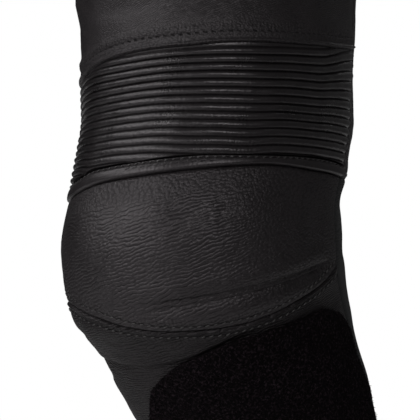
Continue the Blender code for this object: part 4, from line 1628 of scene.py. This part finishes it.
def waistband():
    count = 24
    heights = np.linspace(0.0, BAND_HEIGHT - SEAM_GAP / 2, count + 1)
    share = heights / heights[-1]
    edges = bell(share / 0.03) + bell((1 - share) / 0.03)
    seams = bell((share - 0.09) / 0.03) + bell((share - 0.91) / 0.03)
    columns = np.linspace(0, 1, 70)
    outer = waist_ring(heights, LEATHER - 0.0009 * edges - 0.0004 * seams, columns)
    inner = waist_ring(heights + np.where(share == 1, WAIST_TUCK, 0.0), -LEATHER, columns)
    x = ring_uv(outer)[..., 0]
    wave = 0.0004 * noise(x / 0.012, heights[:, None] / 0.02, 161) * np.sin(share * pi)[:, None]
    outer = outer + grid_normals(outer) * wave[..., None]
    made = wall("waistband_leather", outer, inner, ring_uv(outer), True,
                finishes("waist_leather"))
    stitches = sew("waistband_stitches", ring_rows(outer, (2, count - 2)), seed=13)
    declare(made, "waistband", ["waistband"], [stitches])


def waist_tab():
    """The tab over the band's ends, with a rounded free end on the right of the middle."""
    columns = np.linspace(0, 1, 12)
    heights = np.linspace(TAB_MARGIN, BAND_HEIGHT - TAB_MARGIN, 25)
    low = LEATHER + SEAM_GAP
    middle = BAND_HEIGHT / 2
    half = middle - TAB_MARGIN
    across = edge_crowded(44, 0.01)
    drop = (heights - middle) / half
    rounded = TAB_RIGHT - TAB_CORNER * (1 - np.sqrt(np.clip(1 - drop**2, 0, 1)))

    def surface(out):
        ring = waist_ring(heights, out, columns)
        front = np.concatenate([ring[:, -TAB_POINTS:-1], ring[:, 1:TAB_POINTS]], axis=1)
        points = np.empty((len(heights), len(across), 3))
        for i, row in enumerate(front):
            x = -rounded[i] + (rounded[i] + TAB_LEFT) * across
            for k in range(3):
                points[i, :, k] = np.interp(x, row[:, 0], row[:, k])
        return points

    edge = np.minimum(across, 1 - across)[None] * (TAB_LEFT + TAB_RIGHT)
    rim = np.minimum(half - np.abs(heights - middle)[:, None], edge)
    top, bottom = surface(low + TAB_THICKNESS), surface(low)
    sunk = 0.0009 * bell(rim / 0.0009) + 0.0003 * bell((rim - 0.0030) / 0.0008)
    outer = top + (bottom - top) * (sunk / TAB_THICKNESS)[..., None]
    made = wall("waist_tab_leather", outer, bottom, ring_uv(outer), True,
                finishes("waist_leather"))
    stitches = sew("waist_tab_stitches", ring_rows(outer, (2, -3), slice(4, -4)), seed=14)
    declare(made, "waist_tab", ["waist_tab"], [stitches], ["waistband_leather"])


SNAP_SIDES = 40
SNAP_CORNER = 40                # degrees from which an edge shades sharp
SNAP_SHAPE = [  # the cap's radii and heights, from under its rim to its middle
    (0.80, 0.00), (1.00, 0.00), (1.02, 0.22), (1.00, 0.42), (0.93, 0.52), (0.86, 0.46),
    (0.80, 0.50), (0.62, 0.74), (0.40, 0.90), (0.20, 0.98)]


def snap():
    """The tab's press stud: a turned cap with a rolled rim."""
    corners = np.array([vertex.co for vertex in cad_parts["snap"].data.vertices])
    centre = corners.mean(axis=0)
    normal = Vector(np.linalg.svd(corners - centre)[2][2])
    if normal.y > 0:
        normal = -normal
    turns = [FULL_TURN * k / SNAP_SIDES for k in range(SNAP_SIDES)]
    bm = bmesh.new()
    rings = [[bm.verts.new((SNAP_RADIUS * radius * cos(turn), SNAP_RADIUS * radius * sin(turn),
                            SNAP_HEIGHT * (height - 0.5))) for turn in turns]
             for radius, height in SNAP_SHAPE]
    for inner, outer in zip(rings[:-1], rings[1:]):
        for k in range(SNAP_SIDES):
            after = (k + 1) % SNAP_SIDES
            bm.faces.new((inner[k], inner[after], outer[after], outer[k]))
    bm.faces.new(rings[-1])
    bm.faces.new(rings[0][::-1])
    bmesh.ops.recalc_face_normals(bm, faces=bm.faces)
    turn = normal.to_track_quat("Z", "Y").to_matrix().to_4x4()
    bmesh.ops.transform(bm, matrix=Matrix.Translation(Vector(centre)) @ turn, verts=bm.verts)
    made = add_object("snap_cap", mesh_from(bm, "snap_cap", finish_of("snap_metal")))
    made.data.shade_smooth()
    made.data.set_sharp_from_angle(angle=radians(SNAP_CORNER))
    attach(made, BODY)
    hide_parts("snap")


def fly_placket():
    """The strip over the fly, curved to the middle seam at its foot."""
    across, down = edge_crowded(26, 0.02), edge_crowded(70, 0.006)
    bend = np.clip((down - PLACKET_CURVE_FROM) / 0.28, 0, 1)
    start = 1 - PLACKET_SPREAD * np.maximum(np.sqrt(1 - bend**2), 0.12)
    t = start[:, None] + (MIDDLE_SEAM_END - start)[:, None] * across
    s = WAIST_S + (PLACKET_LENGTH - 0.004) * down
    panel = Panel("front", t, s[:, None] + np.zeros(len(across)), seamed=False)
    panel.height += SEAM_GAP + PLACKET_THICKNESS
    turned_edges(panel, depth=0.0006, reach=0.0008)
    panel.height += 0.0003 * noise(panel.from_side / 0.01, panel.s / 0.012, 171)
    made = panel_object("fly_placket_leather", panel, PLACKET_THICKNESS * 0.8,
                        finishes("waist_leather"), lift=SEAM_GAP * 0.8)
    rows = [panel.row("side", 0.0030, 0.01, 0.96), panel.row("side", 0.0060, 0.01, 0.93)]
    stitches = sew("fly_placket_stitches", rows, seed=15)
    declare(made, "fly_placket", ["fly_placket"], [stitches], ["left_thigh_front_leather"])


# ---------------------------------------------------------------- studio

CAMERA_AZIMUTH = radians(30)
CAMERA_ELEVATION = radians(8)
CAMERA_DISTANCE = 2.4
FRAME_WIDTH = 0.250             # metres across the picture, at the leg
SENSOR = 36.0
TARGET_S = 0.345
TARGET_SHIFT = Vector((-0.010, 0.0, 0.0))
FLOOR_RADIUS = 1.0
FLOOR_DROP = 0.002              # how far below the leg hems the floor lies
WHITE = (1, 1, 1, 1)

Light = namedtuple("Light", "azimuth elevation distance size share")
LIGHTS = {  # angles in degrees, sizes in metres, and shares of the key light's power
    "key": Light(-27, 13, 1.8, (1.6, 1.0), 0.86),
    "strip": Light(-38, 30, 1.8, (0.9, 0.24), 0.42),
    "rim": Light(-78, 42, 1.8, (1.0, 1.0), 0.62),
    "front": Light(38, 34, 1.8, (1.2, 0.7), 0.86),
    "low": Light(-3, -16, 1.1, (1.2, 0.4), 0.05),
    "back": Light(205, 40, 2.6, (2.0, 2.0), 1.2),
}


def sight(azimuth, elevation):
    """The way from the object towards an azimuth and elevation."""
    return Vector((sin(azimuth) * cos(elevation), -cos(azimuth) * cos(elevation), sin(elevation)))


def aim(made, azimuth, elevation, distance):
    """Stands an object off in that direction from the knee, and turns it to face the knee."""
    back = sight(azimuth, elevation)
    target = Vector(axis_point(np.array(TARGET_S))) + TARGET_SHIFT
    made.location = target + back * distance
    made.rotation_mode = "QUATERNION"
    made.rotation_quaternion = back.to_track_quat("Z", "Y")


def area_light(name, row, power):
    data = bpy.data.lights.new(name, "AREA")
    data.shape = "RECTANGLE"
    data.size, data.size_y = row.size
    data.energy = power * row.share
    made = add_object(name, data)
    aim(made, radians(row.azimuth), radians(row.elevation), row.distance)
    made.visible_camera = False


def make_camera():
    data = bpy.data.cameras.new("camera")
    data.sensor_width = SENSOR
    data.lens = SENSOR * CAMERA_DISTANCE / FRAME_WIDTH
    data.clip_start, data.clip_end = 0.05, 100
    made = add_object("camera", data)
    aim(made, CAMERA_AZIMUTH, CAMERA_ELEVATION, CAMERA_DISTANCE)
    bpy.context.scene.camera = made


def make_world(look):
    """White behind the object, and a faint even light all round it."""
    world = bpy.data.worlds.new("studio")
    world.use_nodes = True
    bpy.context.scene.world = world
    tree = world.node_tree
    tree.nodes.clear()
    nodes = Nodes(tree)
    seen = nodes.add("ShaderNodeBackground", {"Color": WHITE, "Strength": 1.0})
    lit = nodes.add("ShaderNodeBackground", {"Color": WHITE, "Strength": look.ambient})
    ray = nodes.add("ShaderNodeLightPath", out="Is Camera Ray")
    mix = nodes.add("ShaderNodeMixShader", {0: ray, 1: lit, 2: seen})
    nodes.feed(tree.nodes.new("ShaderNodeOutputWorld").inputs[0], mix)


def make_floor(look):
    lowest = min(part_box(node)[0][2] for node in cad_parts)
    bm = bmesh.new()
    bmesh.ops.create_circle(bm, cap_ends=True, segments=96, radius=FLOOR_RADIUS)
    bmesh.ops.translate(bm, vec=(0, 0, lowest - FLOOR_DROP), verts=bm.verts)
    finish, nodes = new_finish("floor")
    nodes.principled(Base_Color=(*look.floor, 1), Roughness=0.9)
    made = add_object("floor", mesh_from(bm, "floor", finish))
    made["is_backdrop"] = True


def studio(context):
    look = context.scene.trousers_studio
    make_world(look)
    make_floor(look)
    make_camera()
    for name, row in LIGHTS.items():
        area_light(name, row, look.key)
    context.scene.view_settings.view_transform = "Standard"


# ---------------------------------------------------------------- operators


def operator(idname, title, doc, work):
    """An operator class that runs one function."""

    def execute(self, context):
        work(context)
        return {"FINISHED"}

    return type("TROUSERS_OT_" + idname, (bpy.types.Operator,), {
        "bl_idname": "trousers." + idname, "bl_label": title, "bl_options": {"REGISTER", "UNDO"},
        "__doc__": doc, "execute": execute})


def both(make):
    """Runs a piece's function for each leg."""
    def work(context):
        for side in SIDES:
            make(side)
    return work


def waist(context):
    for make in (waistband, waist_tab, snap, fly_placket):
        make()


OPERATORS = [
    operator("studio", "Studio", "Camera, lights and floor", studio),
    operator("waist", "Waist", "Waistband, its tab and snap, and the fly's strip", waist),
    operator("thigh_fronts", "Thigh fronts", "Front panels down to the folded hem above the knee",
             both(thigh_front)),
    operator("thigh_backs", "Thigh backs", "Seat and back of the thighs", both(thigh_back)),
    operator("accordions", "Stretch ribs", "Ribbed stretch panels above the knees",
             both(accordion)),
    operator("knee_bands", "Knee bands", "Stitched bands under the ribs", both(knee_band)),
    operator("knee_cups", "Knee cups", "Bulging panels over the knees", both(knee_cup)),
    operator("shin_fronts", "Shin fronts", "Panels from the knee cups' seams to the hems",
             both(shin_front)),
    operator("loop_patches", "Pile patches", "Pile patches on the shins", both(loop_patch)),
    operator("calf_backs", "Calf backs", "Stretch panels behind knee and calf", both(calf_back)),
]


class TROUSERS_PT_pieces(bpy.types.Panel):
    """Lists the settings and the pieces"""
    bl_label = "Leather Trousers"
    bl_idname = "TROUSERS_PT_pieces"
    bl_space_type = "VIEW_3D"
    bl_region_type = "UI"
    bl_category = "Trousers"

    def draw(self, context):
        for name, group in SETTINGS.items():
            box = self.layout.box()
            settings = getattr(context.scene, name)
            for key in group.__annotations__:
                box.prop(settings, key)
        for made in OPERATORS:
            self.layout.operator(made.bl_idname)


def register():
    for group in SETTINGS.values():
        bpy.utils.register_class(group)
    for name, group in SETTINGS.items():
        setattr(bpy.types.Scene, name, PointerProperty(type=group))
    for made in OPERATORS:
        bpy.utils.register_class(made)
    bpy.utils.register_class(TROUSERS_PT_pieces)


def unregister():
    bpy.utils.unregister_class(TROUSERS_PT_pieces)
    for made in reversed(OPERATORS):
        bpy.utils.unregister_class(made)
    for name in SETTINGS:
        delattr(bpy.types.Scene, name)
    for group in SETTINGS.values():
        bpy.utils.unregister_class(group)


def plain(box):
    return [[float(value) for value in corner] for corner in box]


def main():
    solid_box = plain(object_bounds())
    register()
    for made in OPERATORS:
        getattr(bpy.ops.trousers, made.bl_idname.split(".")[1])()


if __name__ == "__main__":
    main()
